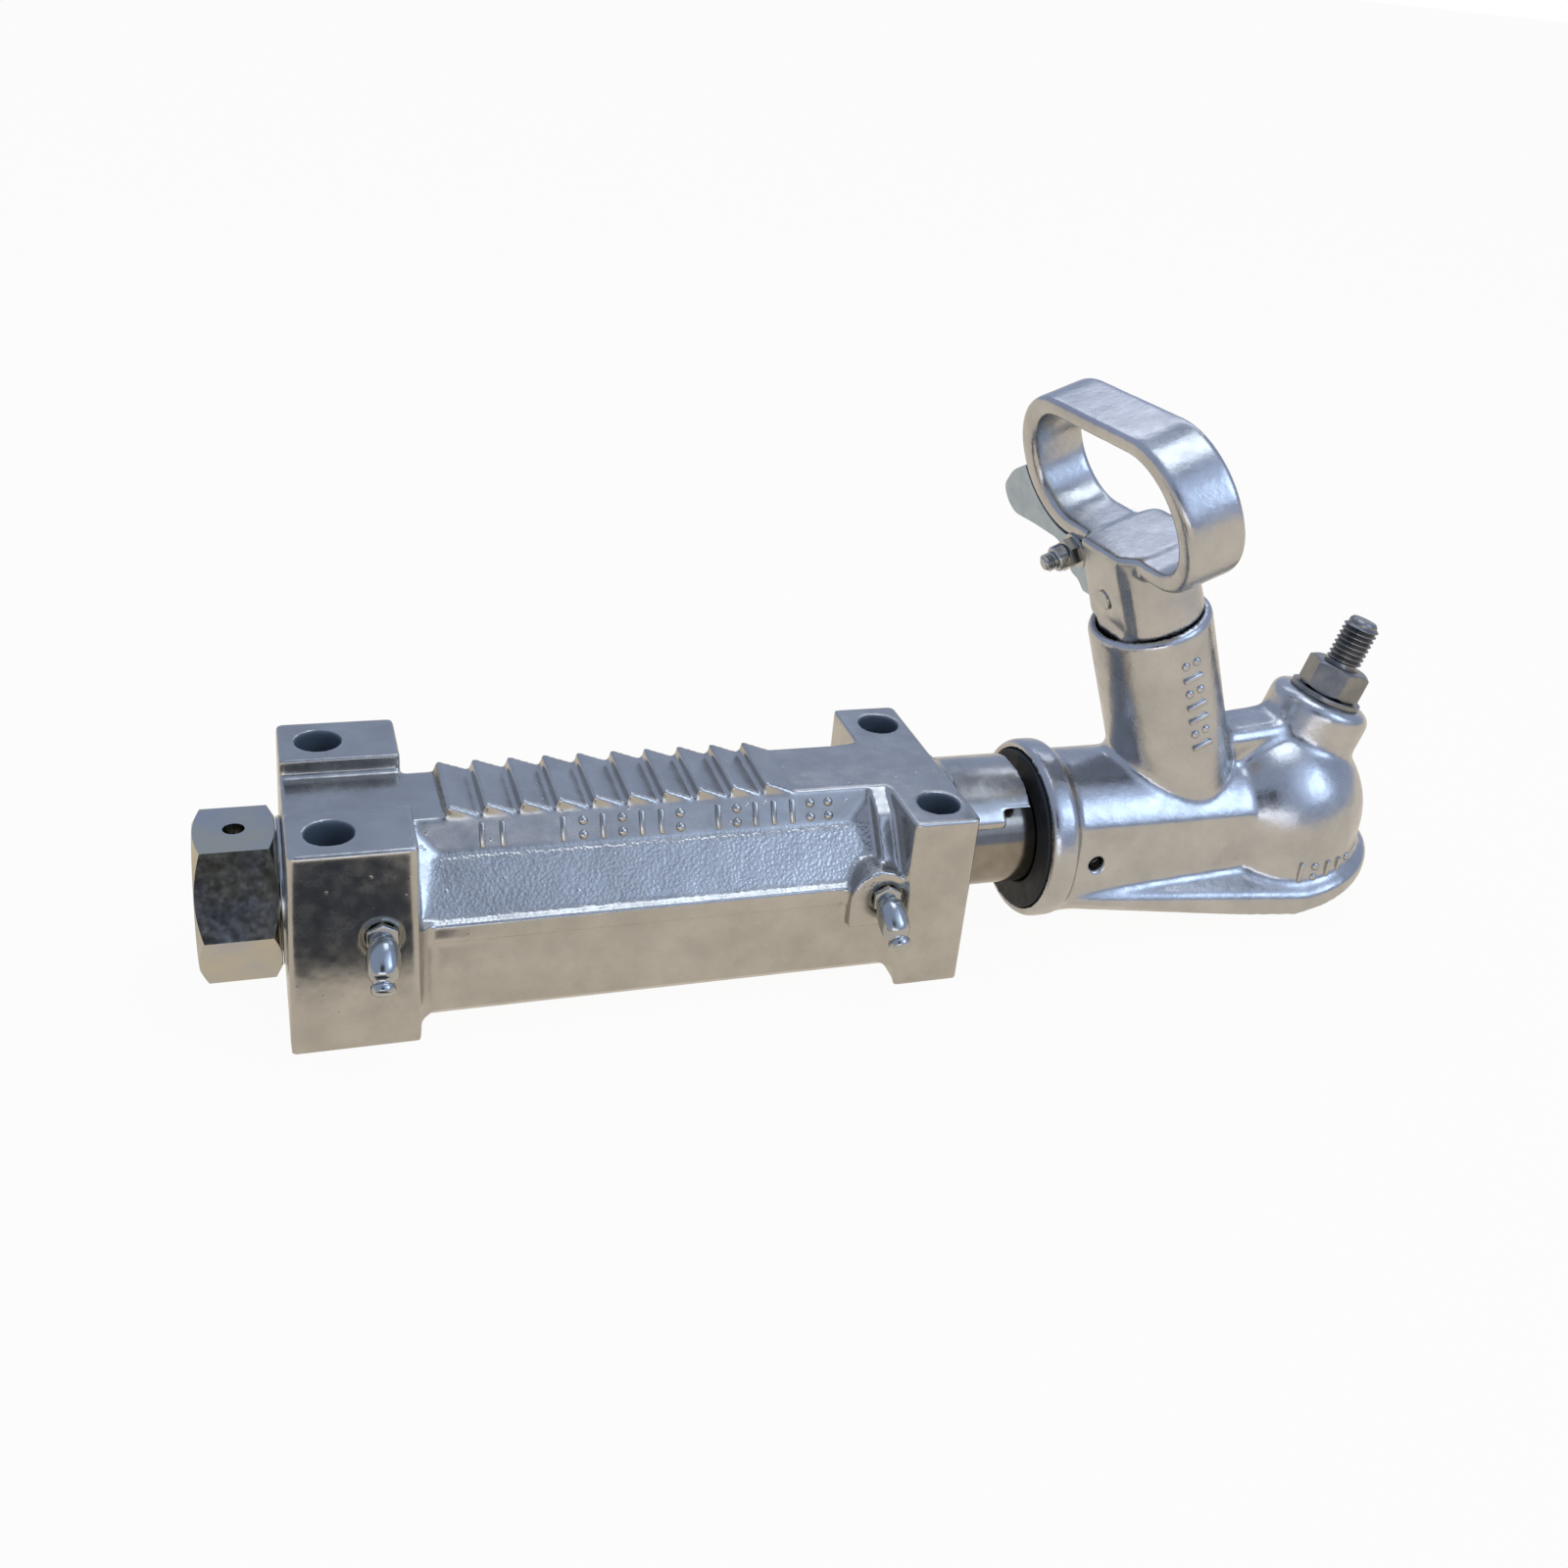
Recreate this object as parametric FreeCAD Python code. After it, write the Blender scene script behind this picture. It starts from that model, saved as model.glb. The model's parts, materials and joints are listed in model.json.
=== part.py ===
import FreeCAD, Part
import math
import os

# Swivelling tow-ball coupling: a cast four-bolt housing, a pinned drawbar
# shaft that turns in it, and a cast head with a lifting ball lock.
# Millimetres. X runs along the shaft towards the ball, Z is up, and the
# origin is the centre of the four bolt holes on the mounting plane.

V = FreeCAD.Vector
X_DIR = V(1, 0, 0)
Y_DIR = V(0, 1, 0)
Z_DIR = V(0, 0, 1)

# Bolt pattern and the lugs that carry it.
bolt_span_x = 178.0
bolt_span_y = 54.0
bolt_hole_r = 6.5
lug_half_y = 39.0
rear_lug_x0 = -bolt_span_x / 2 - 11.5
rear_lug_x1 = -bolt_span_x / 2 + 22.5
front_lug_x0 = bolt_span_x / 2 - 12.0
front_lug_x1 = bolt_span_x / 2 + 9.5
flat_z = 58.7
pad_rise = 5.7
channel_half_y = 15.0
lug_corner_r = 2.0
end_draft = 1.4
spot_face_r = 22.4

# Housing body between the lugs.
rail_half_y = 14.0
panel_half_y = 18.5
panel_foot_z = 49.0
panel_foot_step = 1.2
slope_half_y = 32.0
ridge_half_y = 34.0
ridge_top_z = 35.4
ridge_low_z = 30.2
wall_half_y = 33.0
body_bottom_z = 2.5
body_foot_r = 4.0
buttress_z = 6.0
buttress_h = 30.0
buttress_run = 4.0
gusset_run = 6.0
gusset_half = [(rail_half_y, flat_z), (23.0, 53.0), (34.5, 38.0), (34.5, 28.0), (20.0, 20.0)]
web_run = 8.5

# Ratchet teeth on the rail.
tooth_count = 10
tooth_pitch = 10.45
tooth_first_x = rear_lug_x1 + 10.0
tooth_rise = 3.7
tooth_back_lean = 0.7
tooth_run = 9.6

# Shaft line, bushes and the relieved bore between them.
shaft_z = 30.5
shaft_r = 17.5
running_gap = 0.05
bush_wall = 3.4
bush_fit = 0.02
bush_len = 36.0
seal_len = 5.0
relief_r = 23.5

# Half-round nose over the shaft.
nose_r = 25.4
nose_bore_r = 20.4
nose_wide_x1 = front_lug_x1 + 18.9
nose_end_x = front_lug_x1 + 28.0
nose_wide_z = 43.2
nose_wide_half_y = 20.6
nose_narrow_z = 48.7
nose_root_r = 26.8
nose_root_len = 2.4

# Grease nipples: where they stand, how far their tips lean, and the tapping.
nipple_rear = (rear_lug_x0 + 23.7, 36.9)
nipple_front = (front_lug_x0 - 5.4, 32.2)
nipple_rear_lean = -6.0
nipple_front_lean = 8.0
nipple_face_y = lug_half_y
nipple_boss_face_y = 37.0
nipple_boss_r = 9.5
nipple_thread_r = 3.9
nipple_way_r = 1.6
nipple_reach = 9.0
nipple_spot_r = 5.8
nipple_spot_depth = 0.8
nipple_flats = 8.4
nipple_flange_t = 2.8
nipple_body_r = 4.1
nipple_body_len = 8.6
nipple_neck_r = 2.6
nipple_neck_len = 1.6
nipple_tip_r = 3.1
nipple_tip_len = 2.2

# Rear end of the shaft.
washer_t = 1.5
face_gap = 0.2
washer_r = 21.6
stub_r = 14.3
stub_sunk = 0.6
shaft_end_bevel = 1.5
shaft_end_wall = 3.4
nut_across_flats = 42.9
nut_t = 22.2
nut_pin_r = 3.0
nut_pin_sunk = 6.0

# Head: collar, barrel, dome and lip.
end_float = 4.5
collar_x0 = nose_end_x + end_float
collar_x1 = collar_x0 + 10.5
collar_r = 29.8
buffer_r = 26.6
buffer_t = 5.5
barrel_r = 26.0
barrel_half_y = 23.5
head_bottom_z = 8.5
barrel_foot_r = 7.0
neck_len = 43.2
ball_ahead = 45.3
tower_x = collar_x1 + neck_len
ball_x = tower_x + ball_ahead
ball_z = 33.3
socket_r = 25.4
dome_r = 32.2
lip_r = 36.8
lip_bevel = 2.0
ledge_run = 10.0
ledge_rise = 4.5
lip_t = 9.0
lip_start_x = collar_x1 - 1.5
lip_bend_x = ball_x - 5.0
lip_slope = 0.26
lip_top_slope = 0.19
lip_top_bend_x = ball_x - 3.0
cross_pin_x = collar_x1 + 9.8
cross_pin_z = 28.0
cross_pin_r = 2.9
cross_pin_sunk = 9.0

# Lock tower: its axis leans back from the head's top.
tower_z = 57.0
tower_lean = 20.0
tower_r = 20.0
tower_h = 53.5
web_half_y = 10.0
web_top = 36.7
stem_bore_r = 17.0
ledge_low = 18.0
ledge_high = 22.0
jaw_bore_r = 15.6
rod_r = 7.0

# Handle, measured up the tower axis.
handle_turn = 5.0
stem_r = 15.5
stem_low = 22.6
stem_high = 81.5
stem_foot = 54.3
stem_guide_high = 44.0
stem_neck_r = 14.0
stem_flat = 13.3
stem_far_y = 13.5
grip_half_w = 9.5
grip_shift = 2.2
grip_top = 124.0
grip_foot = 76.0
grip_reach = 47.8
grip_top_r = 0.54 * (grip_top - grip_foot)
grip_foot_r = 0.45 * (grip_top - grip_foot)
grip_wall_top = 5.0
grip_wall_side = 6.8
grip_rim_r = 1.6
handle_pin_h = 63.2
handle_pin_side = 2.6
handle_pin_r = 3.2
rod_top = handle_pin_h + 8.3

# Locking jaw on the rod's lower end.
jaw_top = -16.0
jaw_low = -52.0
jaw_floor_z = 19.0
jaw_gap = 0.06
ball_clear_r = 25.3

# Return spring round the rod, drawn seated at both ends.
spring_wire_r = 0.9
spring_coil_r = 10.5
spring_turns = 4.5

# Trigger, pivot bolt and their stack along the grip's axis.
pivot_y = 23.5
pivot_drop = 4.2
pivot_h = grip_foot - pivot_drop
ear_r = 6.2
ear_face = -6.3
ear_recess = 4.0
plate_face = -9.45
plate_t = 3.0
pivot_r = 3.0
trigger_washer_t = 1.2
trigger_nut_t = 7.6
trigger_tip = -22.4
trigger_head_t = 4.0
trigger_bevel = 0.6
trigger_flats = 10.0
trigger_outline = [
    (-3.5, -15.8, 0.8),
    (1.1, -15.8, 1.5),
    (3.1, -12.2, 3.0),
    (8.1, -10.8, 2.5),
    (6.3, -4.6, 5.0),
    (13.5, -0.5, 8.0),
    (28.5, -0.3, 10.0),
    (44.0, -1.0, 6.0),
    (46.6, 8.0, 6.5),
    (36.5, 17.5, 28.0),
    (20.5, 24.7, 0.5),
    (1.1, 5.7, 0),
    (-0.9, 2.9, 1.0),
    (-5.7, 1.2, 1.0),
]

# Ball adjuster on the dome.
adjuster_tilt = 17.5
boss_r = 17.6
boss_low = 22.0
boss_high = 42.0
stud_r = 6.0
stud_end = 71.4
stud_bevel = 1.0
adjuster_washer_r = 12.4
adjuster_washer_t = 1.8
adjuster_nut_af = 19.0
adjuster_nut_t = 10.3
pad_r = 10.0
pad_back = 29.0

# How far the cutting shapes reach past the part.
past = 150.0


def rod(radius, start, direction, length):
    return Part.makeCylinder(radius, length, start, direction)


def tube(outer, inner, start, direction, length):
    return rod(outer, start, direction, length).cut(rod(inner, start, direction, length))


def bevelled_rod(radius, bevel, start, direction, length):
    # A round bar with its far end bevelled.
    along = direction / direction.Length
    straight = length - bevel
    bar = rod(radius, start, along, straight)
    return bar.fuse(Part.makeCone(radius, radius - bevel, bevel, start + along * straight, along))


def block(x0, x1, y0, y1, z0, z1):
    return Part.makeBox(x1 - x0, y1 - y0, z1 - z0, V(x0, y0, z0))


def prism(points, direction):
    wire = Part.makePolygon(points + [points[0]])
    return Part.Face(wire).extrude(direction)


def mirrored(half):
    # A half outline given as (y, z) from the centre out, closed by its mirror.
    return half + [(-y, z) for y, z in reversed(half)]


def section_along_x(outline, x0, x1):
    return prism([V(x0, y, z) for y, z in outline], V(x1 - x0, 0, 0))


def profile_across_y(outline, half_y):
    return prism([V(x, -half_y, z) for x, z in outline], V(0, 2 * half_y, 0))


def hexagon(across_flats, start, direction, length, flat_side):
    # flat_side is the direction that one of the six flats faces.
    along = direction / direction.Length
    side = flat_side / flat_side.Length
    across = along.cross(side)
    corner = across_flats / 2 / math.cos(math.pi / 6)
    points = []
    for i in range(6):
        a = math.pi / 6 + i * math.pi / 3
        points.append(start + side * (corner * math.cos(a)) + across * (corner * math.sin(a)))
    return prism(points, along * length)


def chamfered_nut(across_flats, start, direction, length, flat_side):
    # Hexagon whose corners are turned off at both ends, 30 degrees to the face.
    along = direction / direction.Length
    face_r = across_flats / 2 - 0.3
    wide_r = face_r + length / math.tan(math.radians(30))
    raw = hexagon(across_flats, start, along, length, flat_side)
    low = Part.makeCone(face_r, wide_r, length, start, along)
    high = Part.makeCone(face_r, wide_r, length, start + along * length, -along)
    return raw.common(low).common(high)


def round_edges(shape, radius, test):
    edges = [e for e in shape.Edges if test(e)]
    return shape.makeFillet(radius, edges)


def one(shape):
    # The largest solid of a shape, cleaned of seams.
    solids = sorted(shape.Solids, key=lambda s: s.Volume)
    return solids[-1].removeSplitter()


def rounded_wire(corners, place):
    # Closed outline from (a, b, radius) corners; place turns (a, b) into a point.
    edges = []
    ends = []
    count = len(corners)
    for i in range(count):
        a, b, radius = corners[i]
        here = place(a, b)
        back = place(corners[i - 1][0], corners[i - 1][1]) - here
        ahead = place(corners[(i + 1) % count][0], corners[(i + 1) % count][1]) - here
        back.normalize()
        ahead.normalize()
        half = back.getAngle(ahead) / 2
        if radius == 0:
            ends.append((here, here))
            continue
        first = here + back * (radius / math.tan(half))
        last = here + ahead * (radius / math.tan(half))
        middle = back + ahead
        middle.normalize()
        centre = here + middle * (radius / math.sin(half))
        edges.append(Part.Arc(first, centre - middle * radius, last).toShape())
        ends.append((first, last))
    for i in range(count):
        start = ends[i - 1][1]
        stop = ends[i][0]
        if start.distanceToPoint(stop) > 0.001:
            edges.append(Part.makeLine(start, stop))
    return Part.Wire(Part.__sortEdges__(edges))


def tetrahedron(a, b, c, d):
    faces = []
    for i, j, k in ((a, b, c), (a, b, d), (b, c, d), (c, a, d)):
        faces.append(Part.Face(Part.makePolygon([i, j, k, i])))
    return Part.makeSolid(Part.makeShell(faces))


def save(name, shape):
    shape.exportStep("parts/" + name + ".step")


def on_shaft(x):
    return V(x, 0, shaft_z)


# Frame of the tower: up its axis, forward and to the far side.
lean = math.radians(tower_lean)
tower_foot = V(tower_x, 0, tower_z)
tower_up = V(-math.sin(lean), 0, math.cos(lean))
tower_fore = V(math.cos(lean), 0, math.sin(lean))
turn = math.radians(handle_turn)
grip_fore = tower_fore * math.cos(turn) + Y_DIR * math.sin(turn)
grip_side = Y_DIR * math.cos(turn) - tower_fore * math.sin(turn)


def up_tower(h):
    return tower_foot + tower_up * h


def at_grip(fore, side, h):
    return up_tower(h) + grip_fore * fore + grip_side * side


# The shaft's socket in the head stops just short of the lock's bore.
bore_back_x = tower_x + (tower_z - shaft_z - shaft_r) * math.tan(lean) - jaw_bore_r / math.cos(lean)
socket_depth_x = bore_back_x - shaft_end_wall


# Frame of the adjuster: its axis passes through the ball's centre.
tilt = math.radians(adjuster_tilt)
ball_centre = V(ball_x, 0, ball_z)
adjuster_dir = V(math.sin(tilt), 0, math.cos(tilt))


def up_adjuster(d):
    return ball_centre + adjuster_dir * d


# The housing's lugs, with rounded upright and lower edges. The moulder's
# draft makes the rear end a little longer at its foot.
def lug(x0, x1, top, draft):
    body = profile_across_y([(x0 - draft, 0), (x1, 0), (x1, top), (x0, top)], lug_half_y)

    def outer(e):
        box = e.BoundBox
        upright = box.ZLength > top / 2
        low_end = box.ZMax < 0.01 and box.YLength < 0.01
        return upright or low_end
    return round_edges(body, lug_corner_r, outer)


def build_housing():
    rear = lug(rear_lug_x0, rear_lug_x1, flat_z + pad_rise, end_draft)
    front = lug(front_lug_x0, front_lug_x1, flat_z, 0)
    half = [
        (rail_half_y, flat_z),
        (panel_half_y, panel_foot_z),
        (panel_half_y + panel_foot_step, panel_foot_z - 0.5),
        (slope_half_y, ridge_top_z + 0.4),
        (ridge_half_y, ridge_top_z),
        (ridge_half_y, ridge_low_z),
        (wall_half_y, ridge_low_z - 0.8),
        (wall_half_y, body_bottom_z + body_foot_r),
        (wall_half_y - body_foot_r, body_bottom_z),
    ]
    body = section_along_x(mirrored(half), rear_lug_x1 - 4, front_lug_x0 + 4)
    gusset = section_along_x(mirrored(gusset_half), front_lug_x0 - gusset_run, front_lug_x0 + 3)
    shape = rear.fuse(front).fuse(body).fuse(gusset)

    # Buttresses where the walls run into the lugs, and webs across the hollow
    # between panel and slope.
    mid_y = lug_half_y * 0.5
    edge_y = lug_half_y - lug_corner_r
    for side in (-1, 1):
        for x, way in ((rear_lug_x1, 1), (front_lug_x0, -1)):
            points = [
                V(x - way, side * mid_y, buttress_z),
                V(x - way, side * edge_y, buttress_z),
                V(x, side * edge_y, buttress_z),
                V(x + way * buttress_run, side * wall_half_y, buttress_z),
                V(x + way * buttress_run, side * mid_y, buttress_z),
            ]
            shape = shape.fuse(prism(points, V(0, 0, buttress_h)))
        for x, way in ((rear_lug_x1, 1), (front_lug_x0 - gusset_run, -1)):
            crest = V(x - way * 0.5, side * (rail_half_y - 0.3), flat_z - 0.3)
            ridge = V(x - way * 0.5, side * (slope_half_y + 0.6), ridge_top_z + 0.7)
            inner = V(x - way * 0.5, side * rail_half_y, ridge_top_z)
            knee = V(x + way * web_run, side * (panel_half_y - 0.1), panel_foot_z - 0.4)
            shape = shape.fuse(tetrahedron(crest, ridge, inner, knee))

    # Raised round pad that takes the front grease nipple.
    px, pz = nipple_front
    pad = rod(nipple_boss_r, V(px - 2, 0, pz), -Y_DIR, nipple_boss_face_y)
    pad = pad.fuse(block(px - nipple_boss_r - 2, px + 6, -nipple_boss_face_y, 0, pz - nipple_boss_r, pz))
    shape = shape.fuse(pad)

    # Channel between the raised rear pads.
    shape = shape.cut(block(rear_lug_x0 - 5, rear_lug_x1 + 5, -channel_half_y,
                            channel_half_y, flat_z, flat_z + past))

    # Nose: a half-round hood, wider and deeper for its first part.
    hood = tube(nose_r, nose_bore_r, on_shaft(front_lug_x1 - 4), X_DIR, nose_end_x - front_lug_x1 + 4)
    wide = hood.common(block(front_lug_x1 - 5, nose_wide_x1, -nose_wide_half_y,
                             nose_wide_half_y, nose_wide_z, past))
    narrow = hood.common(block(front_lug_x1 - 5, nose_end_x, -past, past, nose_narrow_z, past))
    root = tube(nose_root_r, nose_bore_r, on_shaft(front_lug_x1 - 4), X_DIR, 4 + nose_root_len)
    root = root.common(block(front_lug_x1 - 5, front_lug_x1 + 5, -past, past, nose_narrow_z, past))
    shape = shape.fuse(wide).fuse(narrow).fuse(root)

    # Teeth: upright back, long slope towards the head.
    for i in range(tooth_count):
        x = tooth_first_x + i * tooth_pitch
        tooth = profile_across_y([
            (x - tooth_back_lean, flat_z - 1),
            (x - tooth_back_lean, flat_z),
            (x, flat_z + tooth_rise),
            (x + tooth_run, flat_z),
            (x + tooth_run, flat_z - 1),
        ], rail_half_y)
        shape = shape.fuse(tooth)

    # Bore for the bushes, relieved between them.
    bush_r = shaft_r + running_gap + bush_wall
    shape = shape.cut(rod(bush_r, on_shaft(rear_lug_x0 - 5), X_DIR, front_lug_x1 - rear_lug_x0 + 6))
    shape = shape.cut(rod(spot_face_r, on_shaft(rear_lug_x0 - 5), X_DIR, 5))
    relief_x0 = rear_lug_x0 + bush_len + seal_len + 2
    relief_x1 = front_lug_x1 - bush_len - seal_len - 2
    shape = shape.cut(rod(relief_r, on_shaft(relief_x0), X_DIR, relief_x1 - relief_x0))

    # Bolt holes.
    for sx in (-1, 1):
        for sy in (-1, 1):
            start = V(sx * bolt_span_x / 2, sy * bolt_span_y / 2, -1)
            shape = shape.cut(rod(bolt_hole_r, start, Z_DIR, past))

    # Spot faces, tapped holes and drilled ways for the nipples.
    for (x, z), face in ((nipple_rear, nipple_face_y), (nipple_front, nipple_boss_face_y)):
        seat = face - nipple_spot_depth
        shape = shape.cut(rod(nipple_spot_r, V(x, -seat, z), -Y_DIR, nipple_spot_depth + 1))
        shape = shape.cut(rod(nipple_thread_r, V(x, -seat - 1, z), Y_DIR, nipple_reach + 1.2))
        shape = shape.cut(rod(nipple_way_r, V(x, -face, z), Y_DIR, face))
    return one(shape)


# A plain bush that runs on the shaft, drilled for grease.
def build_bush(x0, nipple):
    outer = shaft_r + running_gap + bush_wall - bush_fit
    shape = tube(outer, shaft_r + running_gap, on_shaft(x0), X_DIR, bush_len)
    x, z = nipple
    return one(shape.cut(rod(nipple_way_r, V(x, -outer - 1, z), Y_DIR, outer)))


# Wiper seal outboard of a bush, with a lip that stops just off the shaft.
def build_seal(x0):
    outer = shaft_r + running_gap + bush_wall - bush_fit
    shape = tube(outer, shaft_r + 0.3, on_shaft(x0), X_DIR, seal_len - 0.4)
    groove = tube(outer - 1.1, shaft_r + 1.2, on_shaft(x0 + 1.5), X_DIR, seal_len)
    return one(shape.cut(groove))


# Angled grease nipple: threaded spigot, hexagon, round elbow, neck and tip.
# Each piece starts 0.2 mm inside the one before it.
def build_nipple(place, face, lean_angle):
    x, z = place
    seat = V(x, -(face - nipple_spot_depth), z)
    shape = rod(nipple_thread_r - 0.05, seat, Y_DIR, nipple_reach)
    shape = shape.fuse(hexagon(nipple_flats, seat + V(0, -0.1, 0), -Y_DIR, nipple_flange_t, Z_DIR))
    half = math.sqrt(0.5)
    twist = math.radians(lean_angle)
    way = V(half * math.sin(twist), -half, -half * math.cos(twist))
    elbow = seat + V(0, -nipple_flange_t - 1.9, -0.4)
    shape = shape.fuse(Part.makeSphere(nipple_body_r + 0.5, elbow, way))
    shape = shape.fuse(rod(nipple_body_r, elbow, way, nipple_body_len))
    shape = shape.fuse(Part.makeCone(nipple_body_r, nipple_neck_r, 1.2, elbow + way * nipple_body_len, way))
    neck = elbow + way * (nipple_body_len + 1.0)
    shape = shape.fuse(rod(nipple_neck_r, neck, way, nipple_neck_len))
    tip = neck + way * (nipple_neck_len - 0.2)
    shape = shape.fuse(rod(nipple_tip_r, tip, way, nipple_tip_len))
    shape = shape.fuse(Part.makeCone(nipple_tip_r, nipple_tip_r / 2, 1.4, tip + way * nipple_tip_len, way))
    inside = rod(nipple_way_r - 0.4, seat + V(0, nipple_reach + 1, 0), -Y_DIR, nipple_reach + 5)
    return one(shape.cut(inside))


# Loose thrust washer between the housing and the nut.
washer_x0 = rear_lug_x0 - face_gap - washer_t
nut_x1 = washer_x0 - face_gap
nut_x0 = nut_x1 - nut_t
nut_mid = nut_x1 - nut_t / 2


def build_thrust_washer():
    shape = tube(washer_r, shaft_r + 0.08, on_shaft(washer_x0), X_DIR, washer_t)
    return one(round_edges(shape, 0.6, lambda e: e.BoundBox.YLength > 2 * washer_r - 1))


def build_shaft():
    stub = bevelled_rod(stub_r, shaft_end_bevel, on_shaft(nut_x1 + 2), -X_DIR, nut_t + 2 - stub_sunk)
    main = bevelled_rod(shaft_r, shaft_end_bevel, on_shaft(nut_x1), X_DIR, socket_depth_x - 0.5 - nut_x1)
    shape = stub.fuse(main)
    shape = shape.cut(rod(cross_pin_r, V(cross_pin_x, -past, cross_pin_z), Y_DIR, 2 * past))
    return one(shape.cut(rod(nut_pin_r, V(nut_mid, 0, 0), Z_DIR, past)))


def build_shaft_nut():
    shape = chamfered_nut(nut_across_flats, on_shaft(nut_x0), X_DIR, nut_t, Z_DIR)
    shape = shape.cut(rod(stub_r + 0.05, on_shaft(nut_x0 - 1), X_DIR, nut_t + 2))
    return one(shape.cut(rod(nut_pin_r, V(nut_mid, 0, 0), Z_DIR, past)))


# Slotted spring pin: a split tube with chamfered ends.
def spring_pin(radius, start, direction, length, slot_side):
    along = direction / direction.Length
    shape = tube(radius, radius * 0.55, start, along, length)
    ends = Part.makeCone(radius - 0.5, radius + length, length + 0.5, start, along)
    other = Part.makeCone(radius - 0.5, radius + length, length + 0.5, start + along * length, -along)
    shape = shape.common(ends).common(other)
    side = slot_side / slot_side.Length
    across = along.cross(side)
    half = radius * 0.16
    a = start + across * half
    b = start - across * half
    slot = prism([a, a + side * radius * 2, b + side * radius * 2, b], along * length)
    return one(shape.cut(slot))


def build_nut_pin():
    half = nut_across_flats / 2 - nut_pin_sunk
    return spring_pin(nut_pin_r - 0.02, V(nut_mid, 0, shaft_z - half), Z_DIR, 2 * half, X_DIR)


def build_cross_pin():
    half = barrel_half_y - cross_pin_sunk
    return spring_pin(cross_pin_r - 0.02, V(cross_pin_x, -half, cross_pin_z), Y_DIR, 2 * half, X_DIR)


# The head casting.
def lip_outline(grow, z):
    # Plan of the lip: flush with the barrel's sides at the back, then
    # widening to a round end about the ball.
    r = lip_r + grow
    half = barrel_half_y + grow
    back = ball_x - lip_start_x
    out = math.hypot(back, half)
    touch = math.atan2(half, -back) - math.acos(r / out)
    far = V(ball_x + r * math.cos(touch), r * math.sin(touch), z)
    near = V(far.x, -far.y, z)
    edges = [
        Part.makeLine(V(lip_start_x, -half, z), near),
        Part.Arc(near, V(ball_x + r, 0, z), far).toShape(),
        Part.makeLine(far, V(lip_start_x, half, z)),
        Part.makeLine(V(lip_start_x, half, z), V(lip_start_x, -half, z)),
    ]
    return Part.Wire(edges)


def lip_slab(slope, top):
    # Lip under one sloping top plane, its upper outer edge bevelled.
    slab = Part.Face(lip_outline(0, head_bottom_z)).extrude(V(0, 0, past))
    back = lip_top_bend_x - past
    fore = lip_top_bend_x + past
    high = top + slope * past
    low = top - slope * past
    slab = slab.common(profile_across_y([(back, -past), (fore, -past), (fore, high), (back, low)], past))

    def top_edge(e):
        level = all(abs(v.Z - top - slope * (v.X - lip_top_bend_x)) < 0.01 for v in e.Vertexes)
        return level and e.BoundBox.XLength > 0.01
    return slab.makeChamfer(lip_bevel, [e for e in slab.Edges if top_edge(e)])


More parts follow.
